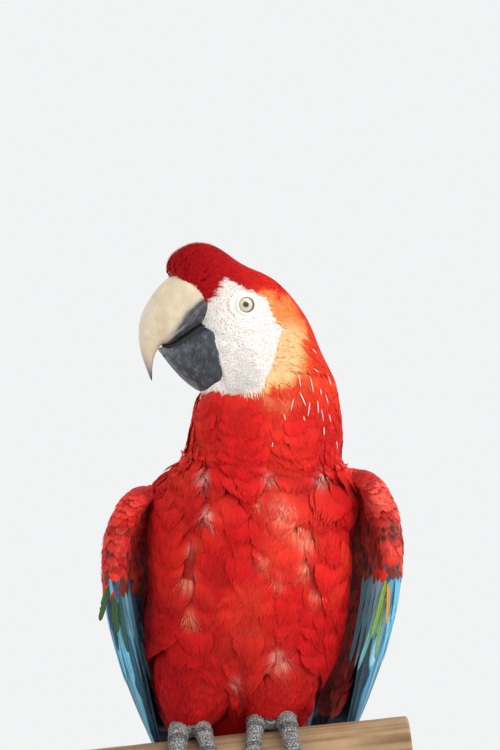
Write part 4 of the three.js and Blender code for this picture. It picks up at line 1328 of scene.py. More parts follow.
def lower_colour(p):
    f, l, u = to_head(p)
    n = value_noise(p, 3.2, 43) - 0.5
    n2 = value_noise(p, 0.9, 44) - 0.5
    c = mix(srgb(32, 36, 42), srgb(56, 62, 72), np.clip(0.5 + n * 1.4, 0, 1))
    scratch = value_noise(np.stack([f * 0.5 + u * 0.35, l * 0.5, (u - f) * 1.6], -1), 1.6, 47)
    c = mix(c, srgb(104, 108, 114), 0.55 * smooth(0.62, 0.8, scratch))
    # scuffed, paler horn along the cutting edge and round the front
    cut = np.interp(f, [p[0] for p in LO_TOP], [p[1] for p in LO_TOP])
    rim = np.exp(-np.maximum(cut - u, 0) / 3.0) * smooth(24, 34, f)
    front = smooth(43, 52, f)
    c = mix(c, srgb(140, 140, 140), np.clip(0.8 * rim + 0.45 * front * (0.6 + n2), 0, 1) * np.clip(0.75 + 2.2 * n2, 0, 1))
    return c


_up = closed_object("bill_u", bill_rows(UP_TOP, UP_LOW, UP_HALF, relief=up_relief))
_uv = mesh_arrays(_up)
BILL_UP = finish_mesh(_up, "bill_upper_horn", _uv, upper_colour(_uv), [M_BILL], ["bill_upper"])
_lo = closed_object("bill_l", bill_rows(LO_TOP, LO_LOW, LO_HALF, relief=lo_relief, rows=90, around=110, round_=2.9,
                                        trough=[1.5, 1.5, 1.4, 1.2, 0.8, 0.3]))
_cut = closed_object("bill_c", bill_rows(UP_TOP, UP_LOW, UP_HALF, swell=0.7, rows=60, around=80))
_ob = bpy.data.objects.new("_u", _lo)
_oc = bpy.data.objects.new("_c", _cut)
for o in (_ob, _oc):
    bpy.context.scene.collection.objects.link(o)
_m = _ob.modifiers.new("d", "BOOLEAN")
_m.operation, _m.solver, _m.object = "DIFFERENCE", "MANIFOLD", _oc
_lo = bpy.data.meshes.new_from_object(_ob.evaluated_get(bpy.context.evaluated_depsgraph_get()))
for o in (_ob, _oc):
    bpy.data.objects.remove(o)
_lv = mesh_arrays(_lo)
BILL_LO = finish_mesh(_lo, "bill_lower_horn", _lv, lower_colour(_lv), [M_BILL_LOW], ["bill_lower"])


_mt = closed_object("mouth", bill_rows([[p[0], p[1] + 4.5] for p in ([8, -12], [19, -15.5], [29, -19], [38, -25.5], [46, -31], [51, -31.5])],
                                       [[p[0] - 1, p[1] - 6.5] for p in LO_TOP[:-1] + [[50.5, -31.0]]],
                                       [13.2, 12.6, 10.8, 8.2, 5.2, 2.0], rows=50, around=60))
_mv = mesh_arrays(_mt)
_mn = value_noise(_mv, 2.2, 45)
finish_mesh(_mt, "mouth_lining", _mv, mix(srgb(12, 11, 13), srgb(30, 27, 30), np.clip(1.4 * _mn - 0.3, 0, 1)), [M_BILL_LOW])


# ------------------------------------------------------------------ eyes
def eye_object(name, side):
    E, A = EYE_AT[side], HL * side
    # the gaze is a little forward of square
    g = unit(A + HF * 0.10 + HU * 0.02)
    e1 = unit(HF - g * (HF @ g))
    e2 = unit(HU - g * (HU @ g) - e1 * (HU @ e1))
    ang = np.concatenate([np.linspace(0.012, 0.95, 60), np.linspace(0.98, math.pi - 0.02, 40)])
    th = np.arange(96) / 96 * 2 * np.pi
    T, H = np.meshgrid(ang, th, indexing="ij")
    r = EYE_R * (1 + 0.035 * smooth(0.72, 0.2, T))  # the clear front bulges a little
    P = E + g * (r * np.cos(T))[..., None] + e1 * (r * np.sin(T) * np.cos(H))[..., None] + e2 * (r * np.sin(T) * np.sin(H))[..., None]
    me = closed_object(name, P)
    v = mesh_arrays(me)
    q = v - E
    rho = np.hypot(q @ e1, q @ e2)
    ph = np.arctan2(q @ e2, q @ e1)
    fib = value_noise(np.stack([np.cos(ph) * 14, np.sin(ph) * 14, rho * 0.5], -1), 1.0, 51) - 0.5
    iris = mix(srgb(190, 180, 138), srgb(216, 208, 172), np.clip(0.5 + 1.3 * fib, 0, 1))
    iris = mix(iris, srgb(132, 128, 112), 0.75 * smooth(2.7, 1.9, rho))
    iris = mix(iris, srgb(110, 102, 80), 0.6 * smooth(3.9, 4.7, rho))
    c = mix(iris, srgb(10, 9, 9), smooth(1.9, 1.65, rho))
    c = mix(c, srgb(34, 30, 28), smooth(4.5, 4.85, rho))
    return finish_mesh(me, name, v, c, [M_EYE], ["eye_left" if side > 0 else "eye_right"])


eye_object("eyeball_left", 1)
eye_object("eyeball_right", -1)


# ------------------------------------------------------------------ claws
def claw_object(foot_name, k):
    foot, toe = FEET[foot_name], TOES[k]
    t = np.linspace(-0.10, 0.985, 46)
    c = claw_path(foot, toe, np.maximum(t, 0)) - 0
    d = claw_path(foot, toe, np.array(0.02)) - claw_path(foot, toe, np.array(0.0))
    c = c + np.minimum(t, 0)[:, None] / 0.02 * d
    tan = unit(np.gradient(c, axis=0))
    e1 = unit(P_AX - tan * (tan @ P_AX)[:, None])
    e2 = np.cross(tan, e1)
    a = np.arange(28) / 28 * 2 * np.pi
    r = (CLAW_R * np.maximum(1 - np.maximum(t, 0), 0) ** 0.75 + 0.1)[:, None] * (1 + 0.0 * a)
    # a little narrower from side to side, all round
    sq = 0.86 + 0.10 * np.cos(a)[None, :] * 0
    P = c[:, None] + e1[:, None] * (r * sq * np.cos(a))[..., None] + e2[:, None] * (r * np.sin(a))[..., None]
    v, faces = shell(P)
    n = value_noise(v, 2.5, 61) - 0.5
    tt = np.concatenate([np.repeat(t, 28), [t[0], t[-1]]])
    col = mix(srgb(30, 29, 31), srgb(78, 74, 72), np.clip(0.35 + 0.9 * n + 0.3 * smooth(0.6, 0, tt), 0, 1))
    return v, faces, col


for _name in FEET:
    for _k in (1, 2, 3, 4):
        _cv, _cf, _cc = claw_object(_name, _k)
        _me = bpy.data.meshes.new("claw")
        _me.from_pydata([tuple(x) for x in _cv], [], _cf)
        _bm = bmesh.new(); _bm.from_mesh(_me); bmesh.ops.recalc_face_normals(_bm, faces=_bm.faces[:]); _bm.to_mesh(_me); _bm.free()
        finish_mesh(_me, "claw_horn_%s_%d" % (_name, _k), _cv, _cc, [M_CLAW], ["claw_%s_%d" % (_name, _k)])
tick("bill eyes claws")


# ------------------------------------------------------------------ perch, rod and base
def perch_object():
    rows, around = 220, 150
    x = np.linspace(-PERCH_LENGTH / 2, PERCH_LENGTH / 2, rows)
    a = np.arange(around) / around * 2 * np.pi
    X, A = np.meshgrid(x, a, indexing="ij")
    q = np.stack([X * 0.12, np.cos(A) * 3, np.sin(A) * 3], -1)
    n = value_noise(q, 1.0, 71) - 0.5
    grain = value_noise(np.stack([X * 0.03, np.cos(A) * 14, np.sin(A) * 14], -1), 1.0, 72) - 0.5
    r = PERCH_R - 0.15 + np.minimum(0.12, 0.5 * n * 0.6 - 0.15) + 0.22 * np.minimum(grain, 0)
    for kx, ka, kr in ((-62, 0.9, 5.5), (48, -1.2, 5.0), (80, 2.4, 4.2)):
        dd = np.hypot(X - kx, ((A - ka + np.pi) % (2 * np.pi) - np.pi) * PERCH_R)
        r = r - 0.5 * np.exp(-(dd / kr) ** 2) * (1 + 0.5 * np.cos(dd * 2.2))
    edge = np.clip((PERCH_LENGTH / 2 - np.abs(X)) / 1.6, 0, 1)
    r = r - 1.4 * (1 - np.sqrt(1 - (1 - edge) ** 2))
    c = np.array([FEET_X + 6, 0, 0]) - N_AX * PERCH_R
    P = c + P_AX * X[..., None] + N_AX * (r * np.cos(A))[..., None] - Y_AX * (r * np.sin(A))[..., None]
    # flat ends with rings of growth
    ends = []
    for s_, row in ((-1, P[0]), (1, P[-1])):
        cc = c + P_AX * (s_ * PERCH_LENGTH / 2)
        ends.append([cc + (row - cc) * k for k in (0.02, 0.2, 0.4, 0.6, 0.8, 0.93)])
    rows_ = np.concatenate([np.array(ends[0]), P, np.array(ends[1])[::-1]])
    me = closed_object("perch_wood", rows_)
    v = mesh_arrays(me)
    q = v - c
    xx = q @ P_AX
    rad_ = np.linalg.norm(q - xx[:, None] * P_AX, axis=1)
    an = np.arctan2(-(q @ Y_AX), q @ N_AX)
    g = value_noise(np.stack([xx * 0.02, np.cos(an) * 9, np.sin(an) * 9], -1), 1.0, 73)
    col = mix(srgb(168, 138, 104), srgb(120, 92, 64), np.clip(1.6 * (g - 0.3), 0, 1))
    col = mix(col, srgb(196, 170, 132), 0.6 * smooth(107.0, 107.9, np.abs(xx)) * (0.6 + 0.4 * np.sin(rad_ * 2.6)))
    return finish_mesh(me, "perch_branch", v, col, [M_WOOD], ["perch"])


perch_object()


def lathe(name, profile, centre, around, mat, node, top_cut=None):
    prof = np.array(profile, float)
    a = np.arange(around) / around * 2 * np.pi
    P = np.stack([prof[:, 0, None] * np.cos(a), prof[:, 0, None] * np.sin(a), prof[:, 1, None] + 0 * a], -1) + np.array(centre)
    if top_cut is not None:
        P = top_cut(P)
    v, faces = shell(P)
    me = bpy.data.meshes.new(name)
    me.from_pydata([tuple(x) for x in v], [], faces)
    bm = bmesh.new(); bm.from_mesh(me); bmesh.ops.recalc_face_normals(bm, faces=bm.faces[:]); bm.to_mesh(me); bm.free()
    ob = finish_mesh(me, name, v, np.ones((len(v), 3)), [mat], [node])
    return ob


def rounded(points, r=0.5, n=4):
    """Profile points with a small round at each inner corner, so that edges catch the light."""
    p = [np.array(q, float) for q in points]
    out = [p[0]]
    for a, b, c in zip(p, p[1:], p[2:]):
        u, w = unit(a - b), unit(c - b)
        k = min(r, np.linalg.norm(a - b) * 0.45, np.linalg.norm(c - b) * 0.45)
        s, e = b + u * k, b + w * k
        for i in range(n + 1):
            t = i / n
            out.append((1 - t) ** 2 * s + 2 * t * (1 - t) * b + t * t * e)
    out.append(p[-1])
    return out


_floor = -PERCH_TOP
lathe("stand_base_disc", rounded([(0.5, 0), (BASE_R - 1, 0), (BASE_R, 1), (BASE_R, BASE_T - 2.5), (BASE_R - 2.5, BASE_T), (24, BASE_T),
                          (24, BASE_T + 2), (20, BASE_T + 6), (0.5, BASE_T + 6)], 0.8), (FEET_X, 0, _floor), 160, M_BASE, "stand_base")


def rod_top(P):
    # the rod's top follows the underside of the perch
    q = P.copy()
    c = np.array([FEET_X + 6, 0, 0]) - N_AX * PERCH_R
    x, y = P[..., 0], P[..., 1]
    under = (c[2] + (x - c[0]) * math.tan(PERCH_SLOPE)) - np.sqrt(np.maximum((PERCH_R + GAP) ** 2 - y ** 2, 1)) / math.cos(PERCH_SLOPE)
    q[..., 2] = np.minimum(P[..., 2], under)
    return q


lathe("stand_rod_steel", [(0.3, _floor + BASE_T + 6 + GAP), (ROD_R - 0.5, _floor + BASE_T + 6 + GAP), (ROD_R, _floor + BASE_T + 6.9)]
      + [(ROD_R, z) for z in np.linspace(_floor + 60, -45, 6)] + [(ROD_R, -20.0), (ROD_R * 0.8, -20.0), (ROD_R * 0.5, -20.0), (0.3, -20.0)],
      (FEET_X, 0, 0), 64, M_ROD, "stand_rod", rod_top)
tick("perch and stand")

# ------------------------------------------------------------------ sampling roots over a surface
from mathutils.kdtree import KDTree


def sample_grid(P, keep, count, rng, wrap=True):
    """Random points of a ring grid, by area: positions and their float row and column."""
    m, n = P.shape[:2]
    Q = np.concatenate([P, P[:, :1]], 1) if wrap else P
    a = np.linalg.norm(np.cross(Q[1:, :-1] - Q[:-1, :-1], Q[:-1, 1:] - Q[:-1, :-1]), axis=-1)
    w = (a * keep).ravel()
    i = rng.choice(len(w), count, p=w / w.sum())
    cols = Q.shape[1] - 1
    r, c = i // cols, i % cols
    x, y = rng.random(count), rng.random(count)
    p = (Q[r, c] * ((1 - x) * (1 - y))[:, None] + Q[r + 1, c] * (x * (1 - y))[:, None]
         + Q[r, c + 1] * ((1 - x) * y)[:, None] + Q[r + 1, c + 1] * (x * y)[:, None])
    return p, r + x, c + y


def darts(p, radius, rng, weight=None):
    """Indices of points no closer than their radius to one another."""
    tree = KDTree(len(p))
    for i, q in enumerate(p):
        tree.insert(q, i)
    tree.balance()
    alive = np.ones(len(p), bool)
    out = []
    for i in rng.permutation(len(p)):
        if alive[i]:
            out.append(i)
            for _, j, _ in tree.find_range(p[i], radius[i]):
                alive[j] = False
    return np.array(out)


# ------------------------------------------------------------------ vanes
def vane_grid(na, nb, tip=0.28, power=0.9):
    a = (np.arange(na) / (na - 1)) ** power
    b = np.linspace(-1, 1, nb)
    A, B = np.meshgrid(a, b, indexing="ij")
    return A, B, grid_faces(na, nb, wrap=False)


def vanes(fn, root, n, lie, L, W, depth, lift, na, nb, rng, camber, fray=0.3, tip=0.26, steps=2, belly=0.45, twist=None,
          rise=2.4):
    """Contour feathers. fn is the field; root, n and lie are (N,3); L and W the length and half width in mm.
    Each vane is a thin curved sheet from its root under the coat to the loose barbs of its tip."""
    N = len(root)
    a = np.append(np.linspace(0, 1 - fray * 1.06, na - 1), 1.0)
    A, B = np.meshgrid(a, np.linspace(-1, 1, nb), indexing="ij")
    faces = grid_faces(na, nb, wrap=False)
    A = np.broadcast_to(A, (N, na, nb)).copy()
    B = np.broadcast_to(B, (N, na, nb)).copy()
    side = np.cross(n, lie)
    # the barbs part into points of unlike length
    gap = (np.arange(nb) % 2 == 1)
    cut = np.where(gap, fray * (0.55 + 0.45 * rng.random((N, nb))), fray * 0.45 * rng.random((N, nb)) ** 1.5)
    cut[:, 0] *= 1.2
    A[:, -1] = 1 - cut
    shorten = tip * np.abs(B) ** 2.4 * A ** 1.6
    x = (A - shorten) * L[:, None, None]
    wprof = (0.34 + 0.66 * smooth(-0.05, belly, A)) * (1 - 0.30 * smooth(0.72, 1.0, A))
    Bj = B.copy()
    Bj[:, -1, :] += (rng.random((N, nb)) - 0.5) * 1.6 / nb
    y = Bj * wprof * W[:, None, None]
    bend = (rng.random(N) - 0.5) * 0.4
    y = y + (bend * L * 0.25)[:, None, None] * A ** 2
    P = root[:, None, None] + lie[:, None, None] * x[..., None] + side[:, None, None] * y[..., None]
    start = -depth - 0.8
    up = 1 - (1 - A) ** rise
    lv = start[:, None, None] + (lift - start)[:, None, None] * up - camber[:, None, None] * B ** 2 * (0.3 + 0.7 * A)
    lv = lv + 0.10 * (np.abs(B) < 0.01) + (rng.random((N, 1, nb)) - 0.5) * 0.22 * A ** 3
    if twist is not None:
        lv = lv + twist[:, None, None] * B * A
    P = settle(fn, P, lv, steps)
    return P, A, B, faces


def turned(v, n, a):
    """v turned about n by angles a."""
    return v * np.cos(a)[:, None] + np.cross(n, v) * np.sin(a)[:, None]


def strands(fn, root, n, lie, L, w, lv0, lv1, rng, segs=3, curl=0.25, flat=None):
    """Single barbs: narrow strips that run from root along the lie and end in a point."""
    N = len(root)
    a = np.linspace(0, 1, segs + 1)
    side = np.cross(n, lie)
    c = (rng.random(N) - 0.5) * curl
    x = a[None] * L[:, None]
    y = (c * L)[:, None] * a[None] ** 2
    P = root[:, None] + lie[:, None] * x[..., None] + side[:, None] * y[..., None]
    lv = lv0[:, None] + (lv1 - lv0)[:, None] * a[None] ** 1.3
    P = settle(fn, P, lv, 2)
    half = (w[:, None] * (1 - a[None] ** 1.5 * 0.9) / 2)
    tilt = (rng.random(N) - 0.5)[:, None, None] * 1.2
    off = (side[:, None] + n[:, None] * tilt) * half[..., None]
    left, right = P - off, P + off
    V = np.concatenate([np.stack([left[:, :-1], right[:, :-1]], 2).reshape(N, -1, 3), P[:, -1:]], 1)
    A = np.concatenate([np.repeat(a[:-1], 2), [1.0]])
    F = []
    for i in range(segs - 1):
        k = 2 * i
        F += [(k, k + 1, k + 3), (k, k + 3, k + 2)]
    k = 2 * (segs - 1)
    F.append((k, k + 1, 2 * segs))
    B = np.concatenate([np.tile([-1.0, 1.0], segs), [0.0]])
    return V, np.array(F), A, B


def strand_piece(name, groups, mat):
    """groups: list of (V (N,k,3), faces, colours like V, root UVs, A, B)."""
    V, F, C, UV, VU, o = [], [], [], [], [], 0
    for P, faces, col, ruv, A, B in groups:
        N, k = P.shape[:2]
        V.append(P.reshape(-1, 3))
        F.append((faces[None] + (np.arange(N) * k)[:, None, None] + o).reshape(-1, 3))
        C.append(col.reshape(-1, 3))
        loc = np.broadcast_to(np.stack([(B + 1) / 2, A], -1), (N, k, 2))
        UV.append((np.clip(ruv, 0.004, 0.992)[:, None] + (loc - 0.5) * 0.003).reshape(-1, 2))
        VU.append((loc * np.array([0.2, 0.4]) + 0.2).reshape(-1, 2))
        o += N * k
    V, F, C, UV, VU = (np.concatenate(x) for x in (V, F, C, UV, VU))
    ob = make_mesh(name, V, F, {"Col": np.clip(C, 0, 1).astype(np.float32)}, {"OFBake": UV, "vane": VU}, [mat])
    print(name, "triangles", len(F))
    if len(F) > 198000:
        raise SystemExit("too many triangles in " + name)
    return place(ob)


def barbs_of(group, R, fn, per, rng, L, w, up=0.35, tone=0.2, spread=0.3, a0=0.35, a1=0.9, tint=None):
    """Loose barbs over each feather of a group, in its own colours, lying on it and passing its tip."""
    P, faces, col, ruv, A, B = group
    N, na, nb = P.shape[:3]
    i = np.repeat(np.arange(N), per)
    m = len(i)
    ra = a0 + (a1 - a0) * rng.random(m) ** 0.65
    row = np.clip(ra * (na - 1), 0, na - 2)
    q = rng.random(m) ** 0.9 * np.sign(rng.random(m) - 0.5) * 0.5 + 0.5
    colf = np.clip(q * (nb - 1), 0, nb - 1.001)
    r0, c0 = row.astype(int), colf.astype(int)
    fr, fc = (row - r0)[:, None], (colf - c0)[:, None]
    at = (P[i, r0, c0] * (1 - fr) * (1 - fc) + P[i, r0 + 1, c0] * fr * (1 - fc) + P[i, r0, c0 + 1] * (1 - fr) * fc
          + P[i, r0 + 1, c0 + 1] * fr * fc)
    d = unit(P[i, np.minimum(r0 + 1, na - 1), c0] - P[i, r0, c0])
    n = unit(grad_of(fn, at))
    d = unit(d - n * (d * n).sum(-1, keepdims=True))
    fan = (colf / (nb - 1) - 0.5) * 2
    d = unit(turned(d, n, -fan * spread + (rng.random(m) - 0.5) * 0.25))
    lv = fn(at)
    ll = (L[i] if np.ndim(L) else np.full(m, L)) * (0.6 + 0.8 * rng.random(m))
    ww = np.full(m, w) * (0.7 + 0.6 * rng.random(m))
    rise = (up[i] if np.ndim(up) else up) * (1 - 0.8 * glow_of(at)[0])
    V, F, SA, SB = strands(fn, at - n * 0.05, n, d, ll, ww, lv + 0.12, lv + rise * (0.4 + 1.2 * rng.random(m)), rng)
    base = col[i, np.minimum(r0 + 1, na - 1), c0]
    calm = (1 - 0.8 * glow_of(at)[0])[:, None, None]
    c = base[:, None] * (1 + calm * (tone * (rng.random((m, 1, 1)) - 0.42) * 2 + 0.12 * SA[None, :, None]))
    if tint is not None:
        t = tint(at, rng)
        c = c + (t[0][:, None] - c) * t[1][:, None, None]
    return V, F, c, ruv[i] + (rng.random((m, 2)) - 0.5) * 0.004, SA, SB


def coat_piece(name, groups, mat, replaces=()):
    """groups: list of (P (N,na,nb,3), faces, colours like P, root UVs (N,2), A, B)."""
    V, F, C, UV, VU, o = [], [], [], [], [], 0
    for P, faces, col, ruv, A, B in groups:
        N = len(P)
        nv = A.shape[1] * A.shape[2]
        V.append(P.reshape(-1, 3))
        F.append((faces[None] + (np.arange(N) * nv)[:, None, None] + o).reshape(-1, faces.shape[1]))
        C.append(col.reshape(-1, 3))
        loc = np.stack([(B + 1) / 2, A], -1).reshape(N, nv, 2)
        UV.append((np.clip(ruv, 0.004, 0.992)[:, None] + (loc - 0.5) * 0.003).reshape(-1, 2))
        seed = np.arange(N)[:, None] * 0.37
        VU.append(np.stack([loc[..., 0], loc[..., 1] + seed], -1).reshape(-1, 2))
        o += N * nv
    V, F, C, UV, VU = (np.concatenate(x) for x in (V, F, C, UV, VU))
    ob = make_mesh(name, V, F, {"Col": C.astype(np.float32)}, {"OFBake": UV, "vane": VU}, [mat])
    tris = len(F) * 2
    print(name, "triangles", tris)
    if tris > 198000:
        raise SystemExit("too many triangles in " + name)
    return place(ob, replaces)


# ------------------------------------------------------------------ colours of the coat
def red_coat(p, rng):
    return coat_colour(p, rng.random(len(p)))


def paint(base, A, B, rng, root_col=None, edge=0.1, streak=0.13):
    """Barb streaks, a paler or greyer root, and a slightly lighter tip over each feather's base colour."""
    N = len(base)
    nb = A.shape[2]
    c = (base if base.ndim == 4 else np.broadcast_to(base[:, None, None], A.shape + (3,))).copy()
    s = 1 + streak * (rng.random((N, 1, nb, 1)) - 0.5) * 2
    c = c * s
    if root_col is not None:
        w = smooth(0.55, 0.15, A)[..., None]
        c = c + (root_col - c) * w * 0.75
    c = c * (1 + edge * smooth(0.6, 1.0, A)[..., None])
    return np.clip(c, 0, 1)


# ------------------------------------------------------------------ contour feathers of the body
def root_uv(rows, cols):
    v = np.interp(rows, np.arange(ROWS), SKIN_V)
    return np.stack([0.01 + 0.98 * cols / AROUND, v], -1)


def spine_t(rows):
    return np.interp(rows, np.arange(ROWS), SKIN_T)


def outside_bill(p):
    """True where a root isn't inside the bill."""
    f, l, u = to_head(p)
    return (bill_gap(p) > 0) & ~((f > 24) & (u < -3) & (u > -54))


def bill_gap(p):
    f, l, u = to_head(p)
    edge = np.interp(u, [-66, -61, -50, -16, -3, 3, 12, 20, 40], [90, 24, 15, 26.5, 32, 37, 42.5, 50.5, 60])
    return edge - f


_rng = np.random.default_rng(7)
_keep = np.ones((ROWS - 1, AROUND))
_pts, _rr, _cc = sample_grid(SKIN_P, _keep, 60000, _rng)
_b = bare(_pts)
_f, _l, _u = to_head(_pts)
_z = _pts[:, 2]
_headness = smooth(-64, -46, _u) * smooth(222, 240, _z)
_neckness = smooth(150, 196, _z) * (1 - _headness)
_spacing = lerp(lerp(8.6, 5.0, smooth(140, 190, _z)), 2.15 + 0.9 * smooth(20, -30, _f), _headness)
_glow = glow_of(_pts - np.array([0, 0, 4.0]))[0]
_spacing = lerp(_spacing, np.minimum(_spacing, 2.9), smooth(206, 214, _z) * (1 - _headness) * np.maximum(smooth(0.0, 0.3, _glow), 0.6))
_spacing = np.minimum(_spacing, 2.0 + 0.18 * np.maximum(_b, 0) + 3.0 * (1 - smooth(200, 235, _z)) + 4 * (1 - smooth(120, 180, _z)))
_ok = (_b > -0.6) & outside_bill(_pts)
_pts, _rr, _cc, _spacing, _headness = (x[_ok] for x in (_pts, _rr, _cc, _spacing, _headness))
_pick = darts(_pts, _spacing, _rng)
_pts, _rr, _cc, _spacing, _headness = (x[_pick] for x in (_pts, _rr, _cc, _spacing, _headness))
# on the head more roots are wanted than the first throw gives
_hp, _hr, _hc = sample_grid(SKIN_P, (SKIN_P[:-1, :, 2] > 214).astype(float), 42000, _rng)
_f, _l, _u = to_head(_hp)
_b = bare(_hp)
_hh = smooth(-64, -46, _u) * smooth(222, 240, _hp[:, 2])
_ok = (_b > -0.6) & outside_bill(_hp) & (_hh > 0.5)
_hp, _hr, _hc, _hh, _f, _b = (x[_ok] for x in (_hp, _hr, _hc, _hh, _f, _b))
_hs = np.minimum(1.62 + 0.50 * smooth(20, -30, _f), 1.5 + 0.2 * np.maximum(_b, 0))
_pick = darts(_hp, _hs, _rng)
_hp, _hr, _hc, _hh, _hs = (x[_pick] for x in (_hp, _hr, _hc, _hh, _hs))
_low = _headness <= 0.5
_pts, _rr, _cc, _spacing, _headness = (np.concatenate([x[_low], y]) for x, y in (
    (_pts, _hp), (_rr, _hr), (_cc, _hc), (_spacing, _hs), (_headness, _hh)))
tick("roots %d" % len(_pts))

ROOTS = dict(p=_pts, rows=_rr, cols=_cc, s=_spacing, h=_headness, t=spine_t(_rr))
ROOTS["n"] = unit(gradient(ROOTS["p"]))
ROOTS["lie"] = lie_of(ROOTS["p"], ROOTS["n"], ROOTS["t"])
ROOTS["uv"] = root_uv(ROOTS["rows"], ROOTS["cols"])
ROOTS["depth"] = coat_depth(ROOTS["p"])


def body_group(mask, fn, na, nb, L, W, rng, lift=0.5, fray=0.3, camber=0.4, root_col=None, spread=0.16, streak=0.13,
               steps=2, lie=None, belly=0.5, edge=0.1, tip=0.26, share=0.35,
               rise=2.4):
    R = {k: v[mask] for k, v in ROOTS.items()}
    N = len(R["p"])
    L = (L if np.ndim(L) else np.full(N, L)) * (0.88 + 0.24 * rng.random(N))
    W = (W if np.ndim(W) else np.full(N, W)) * (0.9 + 0.2 * rng.random(N))
    d = turned(R["lie"] if lie is None else lie, R["n"], (rng.random(N) - 0.5) * 2 * spread)
    mid = R["p"] + d * (0.6 * L)[:, None]
    calm = glow_of(mid)[0]
    lf = lift * (0.2 + 1.3 * rng.random(N) ** 2) * (1 - 0.8 * calm)
    over = R["p"][:, 2] - cape_z(R["p"])
    ruff = smooth(18, 4, over) * (over > 0) * smooth(10, -5, R["p"][:, 1])
    side = smooth(-34, -44, R["p"][:, 0]) * np.exp(-((R["p"][:, 2] - 192) / 9) ** 2)
    lf = lf + folds(mid)[0] + ruff * (0.2 + 1.1 * smooth(0.4, 0.7, value_noise(R["p"], 9, 152))) + 2.2 * side * rng.random(N)
    L = L * (1 + 0.25 * ruff)
    P, A, B, faces = vanes(fn, R["p"], R["n"], d, L, W, R["depth"], lf, na, nb, rng, camber=camber * (1 - 0.9 * calm),
                           fray=fray, steps=steps, belly=belly, tip=tip, twist=(rng.random(N) - 0.5) * 0.4 * (1 - calm), rise=rise)
    # colour runs on from feather to feather, with a share of each one's own
    rr_ = rng.random(N)
    own = coat_colour(R["p"], rr_)[:, None, None]
    run = coat_colour(P.reshape(-1, 3), np.repeat(rr_, na * nb)).reshape(P.shape)
    k = (share * (1 - np.clip(3 * calm, 0, 1)))[:, None, None, None]
    base = run + (own - run) * k
    col = paint(base, A, B, rng, root_col, edge=edge, streak=streak)
    pale, warm = pale_of(P)
    pc = mix(srgb(214, 184, 174), srgb(248, 150, 112), warm)
    k = np.clip(pale * 0.58 * smooth(1.02, 0.6, A) * (0.3 + 1.2 * rng.random((N, 1, nb))), 0, 0.85)[..., None]
    col = col + (pc - col) * k
    return (P, faces, col, R["uv"], A, B), R


# the lie wanders a little, in swirls wider than a feather
_sw = (value_noise(ROOTS["p"], 34, 91) - 0.5) * 0.9 + (value_noise(ROOTS["p"], 13, 92) - 0.5) * 0.5
ROOTS["lie"] = unit(turned(ROOTS["lie"], ROOTS["n"], _sw * (1 - 0.6 * ROOTS["h"])))

_z = ROOTS["p"][:, 2]
_isneck = (_z > cape_z(ROOTS["p"])) & (ROOTS["h"] <= 0.5)
_ishead = ROOTS["h"] > 0.5
_isbody = ~_isneck & ~_ishead
_s = ROOTS["s"]
_rng = np.random.default_rng(8)
# roots that the thighs cover are left out
_lowdeep = (field_low(ROOTS["p"]) < -ROOTS["depth"] - 1.5)
_isbody &= ~_lowdeep
_fd = bare(ROOTS["p"][_ishead])
_hl = 3.9 + 3.0 * np.minimum(_s[_ishead] - 1.5, 1.5) + 0.8 * smooth(0, 8, _fd)
_hf, _, _hu = to_head(ROOTS["p"][_ishead])
_fringe = smooth(7, 0, _fd) * smooth(8, -6, _hf)          # hair-like feathers where the cheek ends
_g, _R = body_group(_ishead, field, 4, 7, _hl * (1.08 + 0.22 * _fringe), 1.45 + 0.9 * (_s[_ishead] - 1.5) + 0.45 * smooth(8, -6, _hf), _rng,
                    lift=0.06, fray=0.22, camber=0.05, spread=0.25, streak=0.08, edge=0.03, rise=4.0, share=0.25)
coat_piece("coat_head", [_g], M_FEATHER)
_brow = smooth(16, 36, _hf) * smooth(6, 22, _hu)
_sg = [barbs_of(_g, _R, field, 11, _rng, 3.4 + 1.1 * _hl * 0.5, 0.30, up=0.20 + 1.3 * _brow, tone=0.13, a0=0.1, spread=0.45)]
tick("head coat")
_g, _R = body_group(_isneck, field, 6, 17, 3.4 * _s[_isneck] + 4, 1.25 * _s[_isneck] + 1.2, _rng, lift=0.08, fray=0.30, camber=0.08,
                    edge=0.03, streak=0.05, rise=4.0, share=0.2, spread=0.12, tip=0.22)
coat_piece("coat_neck", [_g], M_FEATHER)
_sg.append(barbs_of(_g, _R, field, 26, _rng, 8.5, 0.34, up=0.18, tone=0.10, a0=0.3, a1=0.97, spread=0.35))
strand_piece("barbs_head_neck", _sg, M_BARB)
tick("neck coat")
_upper = _isbody & (_z > 92)
_lower = _isbody & (_z <= 92)
for _nm, _mask, _fn in (("breast", _upper, field), ("belly", _lower, field_low)):
    _g, _R = body_group(_mask, _fn, 9, 27, 3.0 * _s[_mask] + 5, 1.05 * _s[_mask] + 1.2, _rng, lift=0.14, fray=0.30, camber=0.14,
                        edge=0.03, streak=0.06, spread=0.15, tip=0.22, rise=3.4, share=0.2)
    coat_piece("coat_" + _nm, [_g], M_FEATHER)
    _b = barbs_of(_g, _R, _fn, 130, _rng, 11.0, 0.34, up=0.32, tone=0.10, spread=0.5, a0=0.2, a1=0.99)
    strand_piece("barbs_" + _nm, [_b], M_BARB)
tick("body coat")


# ------------------------------------------------------------------ thighs
def front_of(x, z, level=0.0):
    """The body's front surface at x and z."""
    x, z = np.asarray(x, float), np.asarray(z, float)
    lo, hi = np.full(x.shape, -110.0), np.full(x.shape, -4.0)
    for _ in range(18):
        m = (lo + hi) / 2
        ins = field(np.stack([x, m, z], -1)) < level
        lo, hi = np.where(ins, lo, m), np.where(ins, m, hi)
    return np.stack([x, lo, z], -1)


